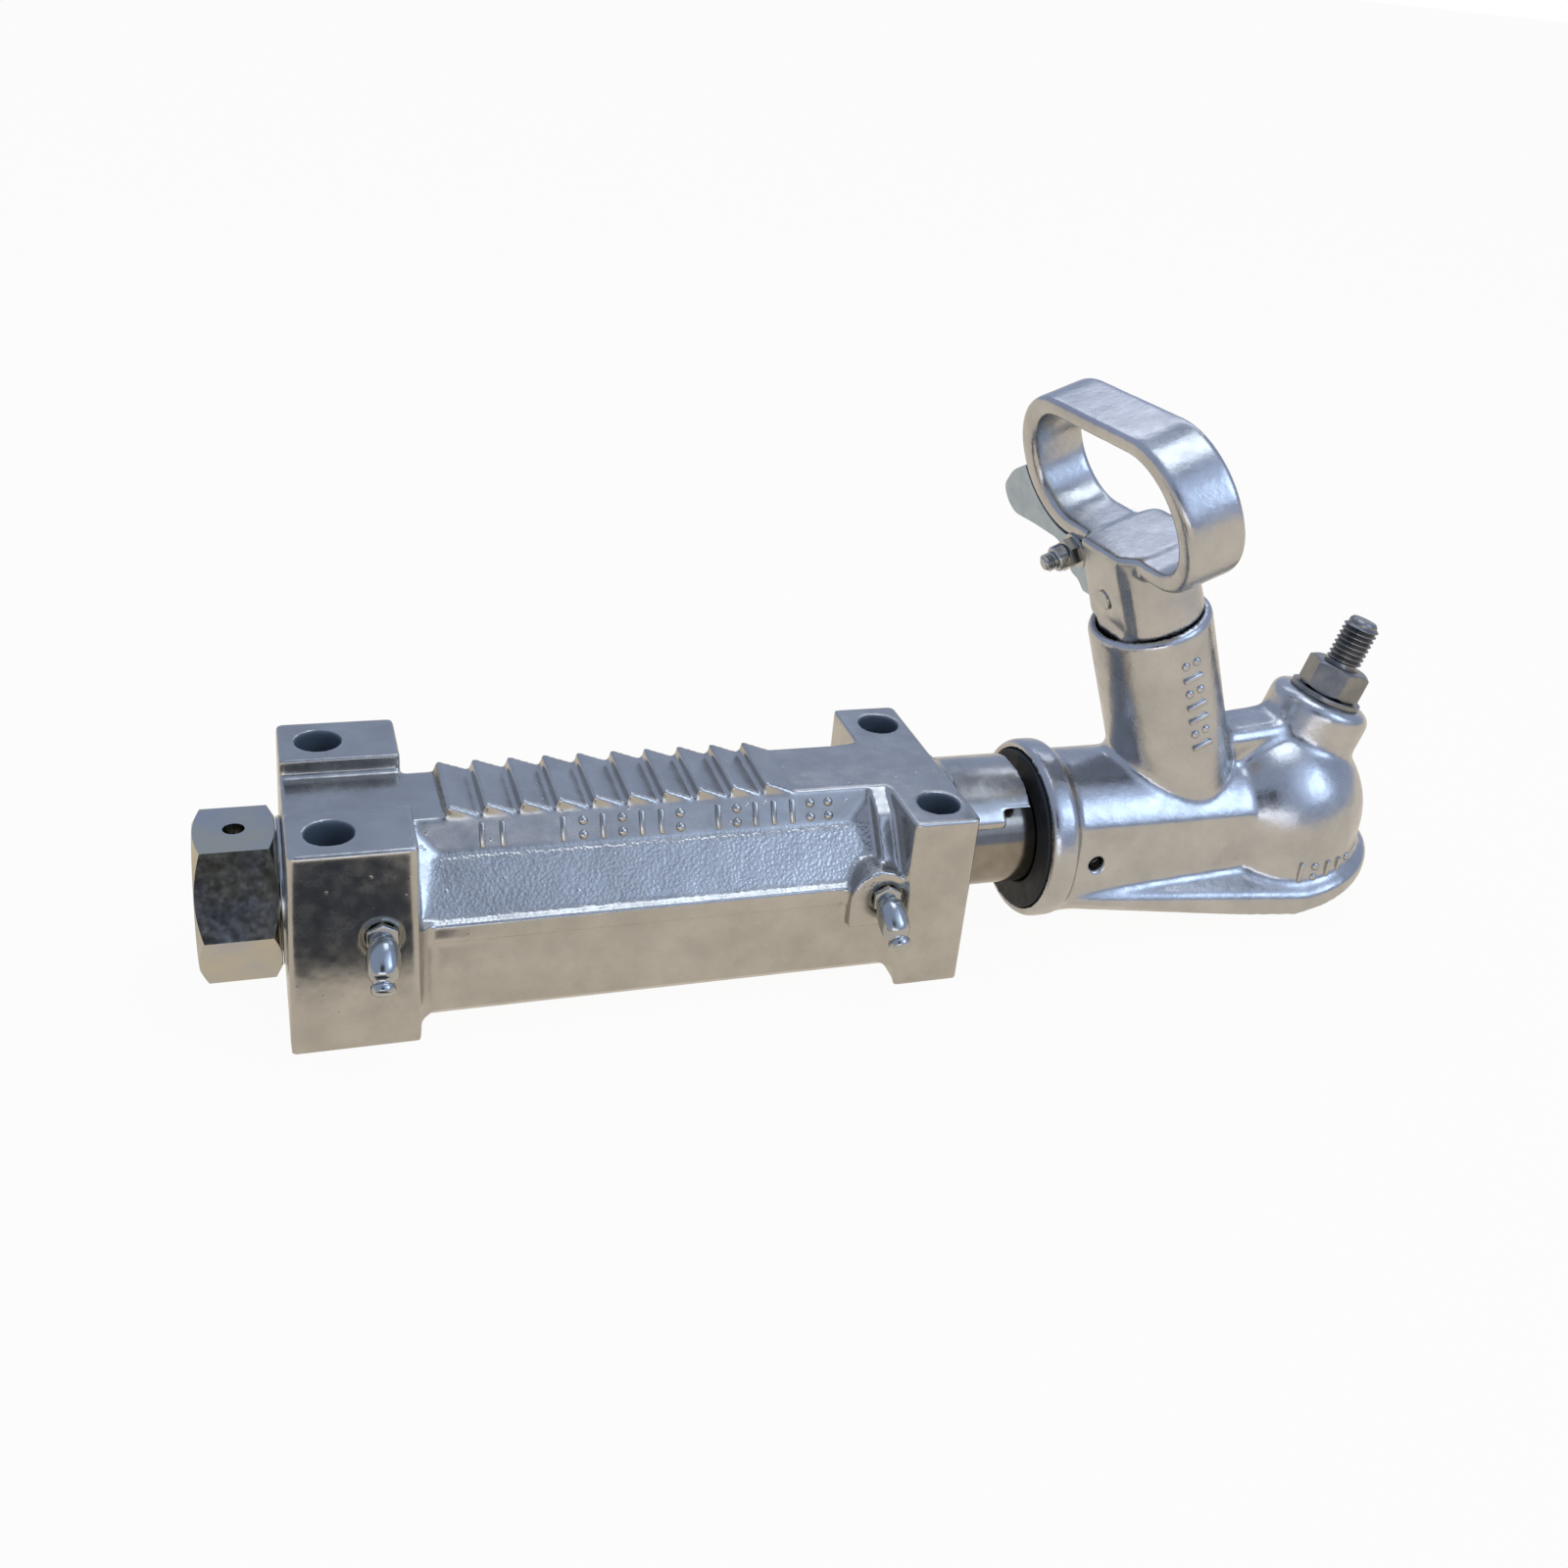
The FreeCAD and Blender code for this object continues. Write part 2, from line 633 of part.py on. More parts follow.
def build_head():
    # Lower boundary of the head: level, then rising under the ball.
    far_x = ball_x + past
    rise = lip_slope * (far_x - lip_bend_x)
    under = profile_across_y([
        (collar_x1 - 4, head_bottom_z),
        (lip_bend_x, head_bottom_z),
        (far_x, head_bottom_z + rise),
        (far_x, head_bottom_z + 2 * past),
        (collar_x1 - 4, head_bottom_z + 2 * past),
    ], past)
    barrel = rod(barrel_r, on_shaft(collar_x1 - 6), X_DIR, ball_x - collar_x1)
    lower = block(collar_x1 - 2, ball_x - 8, -barrel_half_y, barrel_half_y, head_bottom_z, shaft_z)
    lower = round_edges(lower, barrel_foot_r, lambda e: e.BoundBox.ZMax < head_bottom_z + 0.01
                        and e.BoundBox.YLength < 0.01)
    slab = block(collar_x1 - 10, ball_x, -barrel_half_y, barrel_half_y, -past, past)
    barrel = barrel.fuse(lower).common(slab)
    skirt = rod(dome_r, V(ball_x, 0, 0), Z_DIR, ball_z)
    dome = Part.makeSphere(dome_r, ball_centre).fuse(skirt)
    boss = rod(boss_r, up_adjuster(boss_low), adjuster_dir, boss_high - boss_low)
    boss = round_edges(boss, 4.0, lambda e: e.CenterOfMass.distanceToPoint(up_adjuster(boss_high)) < 0.5)
    tower = rod(tower_r, up_tower(-16), tower_up, tower_h + 16)
    tower = round_edges(tower, 2.4, lambda e: e.CenterOfMass.distanceToPoint(up_tower(tower_h)) < 0.5)
    web = profile_across_y([
        (tower_x + 1.3, tower_z - 17.0),
        (tower_x + 1.3, tower_z + 8.2),
        (tower_x + 21.3, tower_z + 9.3),
        (ball_x - 11.0, ball_z + web_top - 2.4),
        (ball_x + 2.0, ball_z + web_top),
        (ball_x + 10.0, ball_z + 16.7),
        (ball_x + 2.0, ball_z + 6.7),
    ], web_half_y)
    web = round_edges(web, web_half_y / 2, lambda e: e.BoundBox.YLength < 0.01
                      and e.BoundBox.ZMin > tower_z + 3 and e.BoundBox.ZLength < 6)
    top = head_bottom_z + lip_t
    lip = lip_slab(0, top).fuse(lip_slab(lip_top_slope, top))

    # Its lower corners are cut back towards the collar.
    for side in (-1, 1):
        inner = V(lip_start_x - 1, side * (barrel_half_y - 6.5), head_bottom_z - 0.1)
        outer = V(lip_start_x - 1, side * (barrel_half_y + 0.5), head_bottom_z - 0.1)
        upper = V(lip_start_x - 1, side * (barrel_half_y + 0.5), head_bottom_z + 7)
        tip = V(lip_bend_x - 10, side * (lip_r - 1.6), head_bottom_z - 0.1)
        lip = lip.cut(tetrahedron(inner, outer, upper, tip))

    # The ledge slopes up from the lip's edge to the walls above it.
    edge_in = -lip_bevel - 0.4
    ledge_foot = lip_outline(edge_in, top)
    ledge_head = lip_outline(edge_in - ledge_run, top + ledge_rise)
    level = Part.makeLoft([ledge_foot, ledge_head], True, True)
    level = level.fuse(Part.Face(lip_outline(edge_in, top - 2)).extrude(V(0, 0, 2)))
    raised = level.copy()
    raised.rotate(V(lip_top_bend_x, 0, top), Y_DIR, -math.degrees(math.atan(lip_top_slope)))
    shape = barrel.fuse(dome).fuse(boss).fuse(tower).fuse(web).fuse(lip).fuse(level).fuse(raised)
    shape = shape.common(under)
    collar = rod(collar_r, on_shaft(collar_x0), X_DIR, collar_x1 - collar_x0)
    collar = round_edges(collar, 3.0, lambda e: e.BoundBox.XLength < 0.01)
    shape = shape.fuse(collar)

    # Seats for the shaft and the buffer.
    shape = shape.cut(rod(shaft_r + 0.03, on_shaft(collar_x0 - 1), X_DIR, socket_depth_x - collar_x0 + 1))
    shape = shape.cut(rod(buffer_r + 0.1, on_shaft(collar_x0 - 1), X_DIR, buffer_t + 1))
    shape = shape.cut(rod(cross_pin_r, V(cross_pin_x, -past, cross_pin_z), Y_DIR, 2 * past))

    # Ball socket: half a sphere with a straight mouth below it.
    mouth = rod(socket_r, V(ball_x, 0, -past), Z_DIR, ball_z + past)
    shape = shape.cut(Part.makeSphere(socket_r, ball_centre).fuse(mouth))

    # Lock bores above and below the ledge in the tower, and the rod's hole.
    shape = shape.cut(rod(stem_bore_r, up_tower(ledge_high), tower_up, tower_h))
    shape = shape.cut(rod(jaw_bore_r, up_tower(ledge_low), -tower_up, past))
    shape = shape.cut(rod(rod_r + running_gap, up_tower(0), tower_up, ledge_high + 5))

    # Pad seat and stud hole on the adjuster's axis.
    shape = shape.cut(rod(pad_r + 0.05, ball_centre, adjuster_dir, pad_back + 0.3))
    shape = shape.cut(rod(stud_r + 0.02, ball_centre, adjuster_dir, past))
    return one(shape)


def build_buffer():
    shape = tube(buffer_r, shaft_r + 0.3, on_shaft(collar_x0 - 0.3), X_DIR, buffer_t)
    return one(round_edges(shape, 0.8, lambda e: e.BoundBox.XMax < collar_x0 and e.BoundBox.XLength < 0.01))


# Adjuster: pad with a hollow face on the ball, stud, washer and lock nut.
def build_ball_pad():
    shape = rod(pad_r, ball_centre, adjuster_dir, pad_back)
    shape = shape.cut(Part.makeSphere(ball_clear_r, ball_centre, -Y_DIR))
    return one(shape)


def build_stud():
    foot = pad_back + 0.05
    return one(bevelled_rod(stud_r, stud_bevel, up_adjuster(foot), adjuster_dir, stud_end - foot))


def build_adjuster_washer():
    start = up_adjuster(boss_high + 0.02)
    shape = tube(adjuster_washer_r, stud_r + 0.3, start, adjuster_dir, adjuster_washer_t)
    return one(shape)


def build_adjuster_nut():
    start = up_adjuster(boss_high + adjuster_washer_t + 0.04)
    shape = chamfered_nut(adjuster_nut_af, start, adjuster_dir, adjuster_nut_t, V(0.94, -0.34, -0.3))
    return one(shape.cut(rod(stud_r + 0.02, start - adjuster_dir, adjuster_dir, adjuster_nut_t + 2)))


# The grip is a flat loop with rounded corners, wider at the top.
def grip_wire(grow, fore, inner):
    if inner:
        reach = grip_reach - grip_wall_side
        high = grip_top - grip_wall_top
        low = grip_foot + grip_wall_top
        high_r = grip_top_r - grip_wall_top
        low_r = grip_foot_r - grip_wall_top
    else:
        reach = grip_reach + grow
        high = grip_top + grow
        low = grip_foot - grow
        high_r = grip_top_r + grow
        low_r = grip_foot_r + grow
    corners = [(-reach, low, low_r), (reach, low, low_r), (reach, high, high_r), (-reach, high, high_r)]
    return rounded_wire(corners, lambda side, h: at_grip(fore, grip_shift + side, h))


def grip_solid(grow, fore0, fore1, inner):
    return Part.Face(grip_wire(grow, fore0, inner)).extrude(grip_fore * (fore1 - fore0))


def grip_block(fore0, fore1, side0, side1, h0, h1):
    foot = [
        at_grip(fore0, side0, h0),
        at_grip(fore1, side0, h0),
        at_grip(fore1, side1, h0),
        at_grip(fore0, side1, h0),
    ]
    return prism(foot, tower_up * (h1 - h0))


def handle_pin_hole():
    return rod(handle_pin_r, at_grip(-past, handle_pin_side, handle_pin_h), grip_fore, 2 * past)


def build_handle():
    # Section of the stem: round on the near side, squared on the far side,
    # with a flat towards the rear.
    crease = math.sqrt(stem_r ** 2 - stem_flat ** 2)
    knee = stem_r * (stem_r - crease) / stem_flat
    corners = [
        (-stem_flat, stem_far_y, 2.5),
        (stem_r, stem_far_y, 5.0),
        (stem_r, -stem_r, stem_r - 1.0),
        (-knee, -stem_r, stem_r - 4.0),
        (-stem_flat, -crease, 3.0),
    ]
    section = rounded_wire(corners, lambda fore, side: at_grip(fore, side, stem_foot))
    stem = Part.Face(section).extrude(tower_up * (stem_high - stem_foot))

    def end_edge(e):
        h = (e.CenterOfMass - tower_foot).dot(tower_up)
        return abs(h - stem_high) < 0.01 or abs(h - stem_foot) < 0.01
    stem = round_edges(stem, 1.2, end_edge)
    neck = rod(stem_neck_r, up_tower(stem_guide_high - 2), tower_up, stem_foot - stem_guide_high + 8)
    neck = neck.common(grip_block(-stem_flat + 0.5, past, -past, past, stem_low, stem_high))
    guide = rod(stem_bore_r - running_gap, up_tower(stem_low), tower_up, stem_guide_high - stem_low)
    loop = grip_solid(0, -grip_half_w, grip_half_w, False)
    loop = loop.cut(grip_solid(0, -grip_half_w - 1, grip_half_w + 1, True))

    def rim(e):
        return abs(abs((e.CenterOfMass - tower_foot).dot(grip_fore)) - grip_half_w) < 0.01
    loop = round_edges(loop, grip_rim_r, rim)
    ear = rod(ear_r, at_grip(ear_face, pivot_y, pivot_h), grip_fore, grip_half_w - ear_face)
    web = grip_block(ear_face, grip_half_w, stem_far_y - 3, pivot_y, pivot_h - 5.5, grip_foot + 3)
    shape = stem.fuse(neck).fuse(guide).fuse(loop).fuse(ear).fuse(web)
    shape = shape.cut(rod(rod_r + 0.02, up_tower(stem_low - 1), tower_up, rod_top + 0.6 - stem_low + 1))
    shape = shape.cut(handle_pin_hole())
    shape = shape.cut(rod(pivot_r + 0.02, at_grip(-past, pivot_y, pivot_h), grip_fore, 2 * past))
    shape = shape.cut(rod(ear_r - 1, at_grip(ear_face - 1, pivot_y, pivot_h), grip_fore, 1 + ear_recess))
    return one(shape)


def build_handle_pin():
    start = at_grip(-stem_flat + 0.3, handle_pin_side, handle_pin_h)
    return spring_pin(handle_pin_r - 0.02, start, grip_fore, stem_flat - 0.3 + stem_r - 0.8, grip_side)


# Locking plunger: a rod with a jaw whose hollow flank grips the ball.
def build_plunger():
    jaw = rod(jaw_bore_r - jaw_gap, up_tower(jaw_low), tower_up, jaw_top - jaw_low)
    jaw = jaw.cut(block(tower_x - past, tower_x + past, -past, past, -past, jaw_floor_z))
    jaw = jaw.cut(Part.makeSphere(ball_clear_r, ball_centre))
    stem = rod(rod_r, up_tower(jaw_top - 4), tower_up, rod_top - jaw_top + 4)
    shape = one(jaw.fuse(stem))
    return one(shape.cut(handle_pin_hole()))


# Round wire wound into a coil about an axis, drawn with eight sides.
def coil(wire_r, coil_r, turns, start, direction, height):
    pitch = height / turns
    path = Part.Wire(Part.makeHelix(pitch, height, coil_r))
    rise = math.atan(pitch / (2 * math.pi * coil_r))
    points = []
    for i in range(9):
        a = (i + 0.5) * math.pi / 4
        out = wire_r * math.cos(a)
        up = wire_r * math.sin(a)
        points.append(V(coil_r + out, -up * math.sin(rise), up * math.cos(rise)))
    shape = path.makePipeShell([Part.makePolygon(points)], True, True)
    shape.Placement = FreeCAD.Placement(start, FreeCAD.Rotation(Z_DIR, direction))
    return shape


# Return spring seated between the ledge and the jaw.
def build_spring():
    low = jaw_top + spring_wire_r + 0.02
    high = ledge_low - spring_wire_r - 0.02
    return coil(spring_wire_r, spring_coil_r, spring_turns, up_tower(low), tower_up, high - low)


def build_trigger_bolt():
    seat = at_grip(grip_half_w + 0.1, pivot_y, pivot_h)
    shape = bevelled_rod(pivot_r, trigger_bevel, seat, -grip_fore, grip_half_w + 0.1 - trigger_tip)
    head = chamfered_nut(trigger_flats, seat, grip_fore, trigger_head_t, grip_side)
    return one(shape.fuse(head))


washer_face = plate_face - 0.1 - trigger_washer_t


def build_trigger_washer():
    start = at_grip(washer_face, pivot_y, pivot_h)
    return one(tube(6.0, pivot_r + 0.3, start, grip_fore, trigger_washer_t))


def build_trigger_nut():
    # Hexagon with a plain round collar that holds the locking ring.
    start = at_grip(washer_face - 0.03, pivot_y, pivot_h)
    hexa = chamfered_nut(trigger_flats, start - grip_fore * 5.2, grip_fore, 5.2, V(0.2, -0.3, 1.0))
    end = start - grip_fore * trigger_nut_t
    ring = rod(4.3, end, grip_fore, trigger_nut_t - 4)
    ring = round_edges(ring, 0.9, lambda e: e.CenterOfMass.distanceToPoint(end) < 0.3)
    shape = hexa.fuse(ring)
    return one(shape.cut(rod(pivot_r + 0.02, start - grip_fore * 12, grip_fore, 14)))


# Torsion spring in the ear's recess behind the trigger.
def build_trigger_spring():
    wire_r = 0.5
    start = at_grip(ear_face + wire_r + 0.02, pivot_y, pivot_h)
    return coil(wire_r, 4.2, 2.5, start, grip_fore, ear_recess - 2 * wire_r - 0.04)


# Trigger plate: thumb lobe beyond the grip, pivot eye and a toe below it.
def build_trigger():
    def place(side, h):
        return at_grip(plate_face, pivot_y + side, pivot_h + h)
    shape = Part.Face(rounded_wire(trigger_outline, place)).extrude(grip_fore * plate_t)
    shape = one(shape.cut(grip_solid(0.8, plate_face - 1, plate_face + plate_t + 1, False)))
    eye = rod(pivot_r + running_gap, at_grip(-past, pivot_y, pivot_h), grip_fore, 2 * past)
    return one(shape.cut(eye))


def main():
    os.makedirs("parts", exist_ok=True)
    save("housing_casting", build_housing())
    rear_bush_x = rear_lug_x0 + seal_len
    front_bush_x = front_lug_x1 - seal_len - bush_len
    save("rear_shaft_bush", build_bush(rear_bush_x, nipple_rear))
    save("front_shaft_bush", build_bush(front_bush_x, nipple_front))
    save("rear_wiper_seal", build_seal(rear_lug_x0 + 0.2))
    save("front_wiper_seal", build_seal(front_lug_x1 - seal_len + 0.2))
    save("rear_grease_nipple", build_nipple(nipple_rear, nipple_face_y, nipple_rear_lean))
    save("front_grease_nipple", build_nipple(nipple_front, nipple_boss_face_y, nipple_front_lean))
    save("thrust_washer", build_thrust_washer())
    save("drawbar_shaft", build_shaft())
    save("shaft_nut", build_shaft_nut())
    save("nut_locking_pin", build_nut_pin())
    save("head_casting", build_head())
    save("head_cross_pin", build_cross_pin())
    save("rubber_buffer", build_buffer())
    save("ball_pad", build_ball_pad())
    save("adjuster_stud", build_stud())
    save("adjuster_washer", build_adjuster_washer())
    save("adjuster_nut", build_adjuster_nut())
    save("handle_casting", build_handle())
    save("handle_pin", build_handle_pin())
    save("locking_plunger", build_plunger())
    save("plunger_spring", build_spring())
    save("trigger_bolt", build_trigger_bolt())
    save("trigger_washer", build_trigger_washer())
    save("trigger_nut", build_trigger_nut())
    save("trigger_spring", build_trigger_spring())
    save("trigger_plate", build_trigger())


main()
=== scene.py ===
import bpy
import bmesh
import json
import math
from mathutils import Matrix, Vector


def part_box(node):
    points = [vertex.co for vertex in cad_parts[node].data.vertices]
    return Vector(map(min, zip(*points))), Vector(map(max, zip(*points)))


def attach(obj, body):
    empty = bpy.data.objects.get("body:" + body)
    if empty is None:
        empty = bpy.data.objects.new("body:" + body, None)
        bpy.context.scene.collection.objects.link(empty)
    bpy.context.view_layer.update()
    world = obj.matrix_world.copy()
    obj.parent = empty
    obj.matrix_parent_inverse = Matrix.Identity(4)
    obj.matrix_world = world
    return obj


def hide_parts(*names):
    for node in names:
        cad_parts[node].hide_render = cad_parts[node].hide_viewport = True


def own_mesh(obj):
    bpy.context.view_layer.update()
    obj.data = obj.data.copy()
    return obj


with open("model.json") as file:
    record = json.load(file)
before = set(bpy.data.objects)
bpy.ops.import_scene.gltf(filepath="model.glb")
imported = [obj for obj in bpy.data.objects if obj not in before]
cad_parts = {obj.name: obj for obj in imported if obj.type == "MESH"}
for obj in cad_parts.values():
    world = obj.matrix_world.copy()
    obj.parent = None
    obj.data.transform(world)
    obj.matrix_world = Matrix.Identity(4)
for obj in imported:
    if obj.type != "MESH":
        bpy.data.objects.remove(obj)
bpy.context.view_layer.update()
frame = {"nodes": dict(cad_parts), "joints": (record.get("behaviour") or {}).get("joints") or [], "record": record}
scene = bpy.context.scene
nodes = frame["nodes"]
joints = {joint["name"]: joint for joint in frame["joints"]}
mounts = {mount["name"]: mount for mount in frame["record"]["mounts"]}


# Camera. It stands at the near left of the coupling and a little above it, at
# the photograph's angle. The lens is a phone's main lens on a 36 mm wide frame,
# and the shifts are those of the cropped picture.
camera_data = bpy.data.cameras.new("photo_camera")
camera_data.sensor_width = 36.0
camera_data.lens = 37.456
camera_data.shift_x = -0.0310
camera_data.shift_y = -0.0324
camera_data.clip_start = 0.01
camera = bpy.data.objects.new("photo_camera", camera_data)
camera.location = (-0.10397, -0.42169, 0.29617)
camera.rotation_euler = [math.radians(a) for a in (63.396, -5.770, -18.664)]
scene.collection.objects.link(camera)
scene.camera = camera


# Housing: sand cast steel with its lugs fettled, zinc plated all over. The skin
# is the frame's shape on a fine even grid, relaxed until its corners are soft.
# The lugs' feet are rounded off across their ends.
def joined_copy(node, name):
    # A new piece with the node's triangles joined and its flat faces made whole.
    shell = bmesh.new()
    shell.from_mesh(nodes[node].data)
    bmesh.ops.remove_doubles(shell, verts=shell.verts, dist=0.000002)
    bmesh.ops.dissolve_limit(shell, angle_limit=math.radians(0.5), verts=shell.verts, edges=shell.edges)
    mesh = bpy.data.meshes.new(name)
    shell.to_mesh(mesh)
    shell.free()
    piece = bpy.data.objects.new(name, mesh)
    scene.collection.objects.link(piece)
    piece.data.materials.clear()
    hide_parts(node)
    return piece


def even_grid(piece, size):
    remesh = piece.modifiers.new("even_grid", "REMESH")
    remesh.mode = "VOXEL"
    remesh.voxel_size = size
    remesh.use_smooth_shade = True


def cast_skin(node, name, body, grid, swells, rounds, kept):
    # Swelling the skin and shrinking it again fills its inner corners.
    piece = joined_copy(node, name)
    even_grid(piece, grid)
    for change in swells:
        swell = piece.modifiers.new("swell", "DISPLACE")
        swell.strength = change
        swell.mid_level = 0.0
        even_grid(piece, grid)
    relax = piece.modifiers.new("soft_creases", "SMOOTH")
    relax.factor = 0.5
    relax.iterations = rounds
    if kept < 1.0:
        thin = piece.modifiers.new("fewer_faces_on_flats", "DECIMATE")
        thin.ratio = kept
    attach(piece, body)
    return piece


def is_foot_end(edge):
    start, end = (v.co for v in edge.verts)
    on_lug = abs(start.x) > 0.06 and max(start.z, end.z) < 0.0006
    return on_lug and edge.calc_length() > 0.02 and abs((start - end).normalized().y) > 0.98


housing = cast_skin("housing_casting", "housing_body", "housing",
                    grid=0.0008, swells=(), rounds=3, kept=0.5)
lugs = bmesh.new()
lugs.from_mesh(housing.data)
foot_ends = [e for e in lugs.edges if is_foot_end(e)]
foot_radius = 0.0030
bmesh.ops.bevel(lugs, geom=foot_ends, offset=foot_radius, segments=5, profile=0.5, affect="EDGES",
                material=-1)
lugs.to_mesh(housing.data)
lugs.free()


def linear(hex_colour):
    # sRGB hex to the linear colour that a shader takes.
    values = [int(hex_colour[i:i + 2], 16) / 255 for i in (1, 3, 5)]
    return [v / 12.92 if v <= 0.04045 else ((v + 0.055) / 1.055) ** 2.4 for v in values] + [1.0]


def add(tree, kind, settings=(), **inputs):
    # One node with its settings; an input is a value or another node's socket.
    node = tree.nodes.new(kind)
    for name, value in dict(settings).items():
        setattr(node, name, value)
    for name, value in inputs.items():
        socket = node.inputs[int(name[1:])] if name[1:].isdigit() else node.inputs[name.replace("_", " ")]
        if isinstance(value, bpy.types.NodeSocket):
            tree.links.new(value, socket)
        else:
            socket.default_value = value
    return node


def new_material(name):
    material = bpy.data.materials.new(name)
    material.use_nodes = True
    material.node_tree.nodes.clear()
    return material, material.node_tree


# Zinc plated sand casting: satin grey metal, a little warm. The plating pools
# lighter or darker in patches of about 14 mm and dries in a few beads. The
# mould's sand is finer than it is drawn: at 0.9 mm its pebbles can be seen.
sand_zinc, tree = new_material("zinc_plated_sand_casting")
place = add(tree, "ShaderNodeTexCoord").outputs["Object"]
patches = add(tree, "ShaderNodeTexNoise", Vector=place, Scale=1 / 0.014, Detail=5.0, Roughness=0.62)
tone = add(tree, "ShaderNodeMapRange", Value=patches.outputs["Fac"], i1=0.35, i2=0.65)
colour = add(tree, "ShaderNodeMix", {"data_type": "RGBA"}, i0=tone.outputs[0],
             i6=linear("#afaca6"), i7=linear("#bdbab4"))
satin = add(tree, "ShaderNodeTexNoise", Vector=place, Scale=1 / 0.005, Detail=4.0, Roughness=0.6)
gloss = add(tree, "ShaderNodeMapRange", Value=satin.outputs["Fac"], i1=0.3, i2=0.7, i3=0.19, i4=0.31)
# The pebbles cover only the slopes between the lugs, from ridge to panel.
spot = add(tree, "ShaderNodeSeparateXYZ", Vector=place)
past_rear = add(tree, "ShaderNodeMapRange", Value=spot.outputs["X"], i1=-0.066, i2=-0.060)
past_front = add(tree, "ShaderNodeMapRange", Value=spot.outputs["X"], i1=0.074, i2=0.066)
over_ridge = add(tree, "ShaderNodeMapRange", Value=spot.outputs["Z"], i1=0.034, i2=0.037)
under_panel = add(tree, "ShaderNodeMapRange", Value=spot.outputs["Z"], i1=0.0500, i2=0.0488)
along_body = add(tree, "ShaderNodeMath", {"operation": "MULTIPLY"},
                 i0=past_rear.outputs[0], i1=past_front.outputs[0])
up_slope = add(tree, "ShaderNodeMath", {"operation": "MULTIPLY"},
               i0=over_ridge.outputs[0], i1=under_panel.outputs[0])
sanded = add(tree, "ShaderNodeMath", {"operation": "MULTIPLY"},
             i0=along_body.outputs[0], i1=up_slope.outputs[0])
pebbles = add(tree, "ShaderNodeTexVoronoi", {"feature": "SMOOTH_F1"}, Vector=place, Scale=1 / 0.0009)
pebbles = add(tree, "ShaderNodeMath", {"operation": "MULTIPLY"}, i0=pebbles.outputs["Distance"],
              i1=sanded.outputs[0])
pebbles = add(tree, "ShaderNodeMath", {"operation": "MULTIPLY"}, i0=pebbles.outputs[0], i1=-2.6)
swells = add(tree, "ShaderNodeTexNoise", Vector=place, Scale=1 / 0.010, Detail=2.0, Roughness=0.5)
height = add(tree, "ShaderNodeMath", {"operation": "MULTIPLY_ADD"}, i0=swells.outputs["Fac"], i1=5.0,
             i2=pebbles.outputs[0])
drops = add(tree, "ShaderNodeTexVoronoi", Vector=place, Scale=1 / 0.006)
bead = add(tree, "ShaderNodeMapRange", Value=drops.outputs["Distance"], i1=0.10, i2=0.04)
height = add(tree, "ShaderNodeMath", {"operation": "MULTIPLY_ADD"}, i0=bead.outputs[0], i1=1.6,
             i2=height.outputs[0])
relief = add(tree, "ShaderNodeBump", Strength=1.0, Distance=0.00005, Height=height.outputs[0])
shader = add(tree, "ShaderNodeBsdfPrincipled", Metallic=1.0, Roughness=gloss.outputs[0],
             Base_Color=colour.outputs[2], Normal=relief.outputs["Normal"])
# Inside the four bolt holes a matt dull blue grey is painted in: painted light, standing in for the sky light on
# the bores' walls.
from_mid_x = add(tree, "ShaderNodeMath", {"operation": "ABSOLUTE"}, i0=spot.outputs["X"])
from_mid_y = add(tree, "ShaderNodeMath", {"operation": "ABSOLUTE"}, i0=spot.outputs["Y"])
off_x = add(tree, "ShaderNodeMath", {"operation": "SUBTRACT"}, i0=from_mid_x.outputs[0], i1=0.178 / 2)
off_y = add(tree, "ShaderNodeMath", {"operation": "SUBTRACT"}, i0=from_mid_y.outputs[0], i1=0.054 / 2)
off_axis = add(tree, "ShaderNodeCombineXYZ", X=off_x.outputs[0], Y=off_y.outputs[0], Z=0.0)
radius = add(tree, "ShaderNodeVectorMath", {"operation": "LENGTH"}, i0=off_axis.outputs[0])
painted_bore_light_mask = add(tree, "ShaderNodeMapRange", Value=radius.outputs["Value"], i1=0.0070, i2=0.0067)
matt = add(tree, "ShaderNodeBsdfPrincipled", Metallic=0.3, Roughness=0.6, Base_Color=linear("#5f6870"))
mixed = add(tree, "ShaderNodeMixShader", i0=painted_bore_light_mask.outputs[0], i1=shader.outputs[0], i2=matt.outputs[0])
add(tree, "ShaderNodeOutputMaterial", Surface=mixed.outputs[0])
housing.data.materials.append(sand_zinc)


# Head: one investment casting of steel, from the collar to the ball's dome, so
# its inner corners run in fillets of about 2 mm. The same zinc plating lies on
# it, over a finer skin that is pebbled at 1.6 mm.
head = cast_skin("head_casting", "head_body", "drawbar",
                 grid=0.0008, swells=(0.0020, -0.0020), rounds=5, kept=0.75)
cast_zinc, tree = new_material("zinc_plated_cast_steel")
place = add(tree, "ShaderNodeTexCoord").outputs["Object"]
patches = add(tree, "ShaderNodeTexNoise", Vector=place, Scale=1 / 0.014, Detail=5.0, Roughness=0.62)
tone = add(tree, "ShaderNodeMapRange", Value=patches.outputs["Fac"], i1=0.35, i2=0.65)
colour = add(tree, "ShaderNodeMix", {"data_type": "RGBA"}, i0=tone.outputs[0],
             i6=linear("#b3b2b0"), i7=linear("#c2c0be"))
satin = add(tree, "ShaderNodeTexNoise", Vector=place, Scale=1 / 0.005, Detail=4.0, Roughness=0.6)
gloss = add(tree, "ShaderNodeMapRange", Value=satin.outputs["Fac"], i1=0.3, i2=0.7, i3=0.20, i4=0.34)
grain = add(tree, "ShaderNodeTexNoise", Vector=place, Scale=1 / 0.0016, Detail=3.0, Roughness=0.55)
swells = add(tree, "ShaderNodeTexNoise", Vector=place, Scale=1 / 0.009, Detail=2.0, Roughness=0.5)
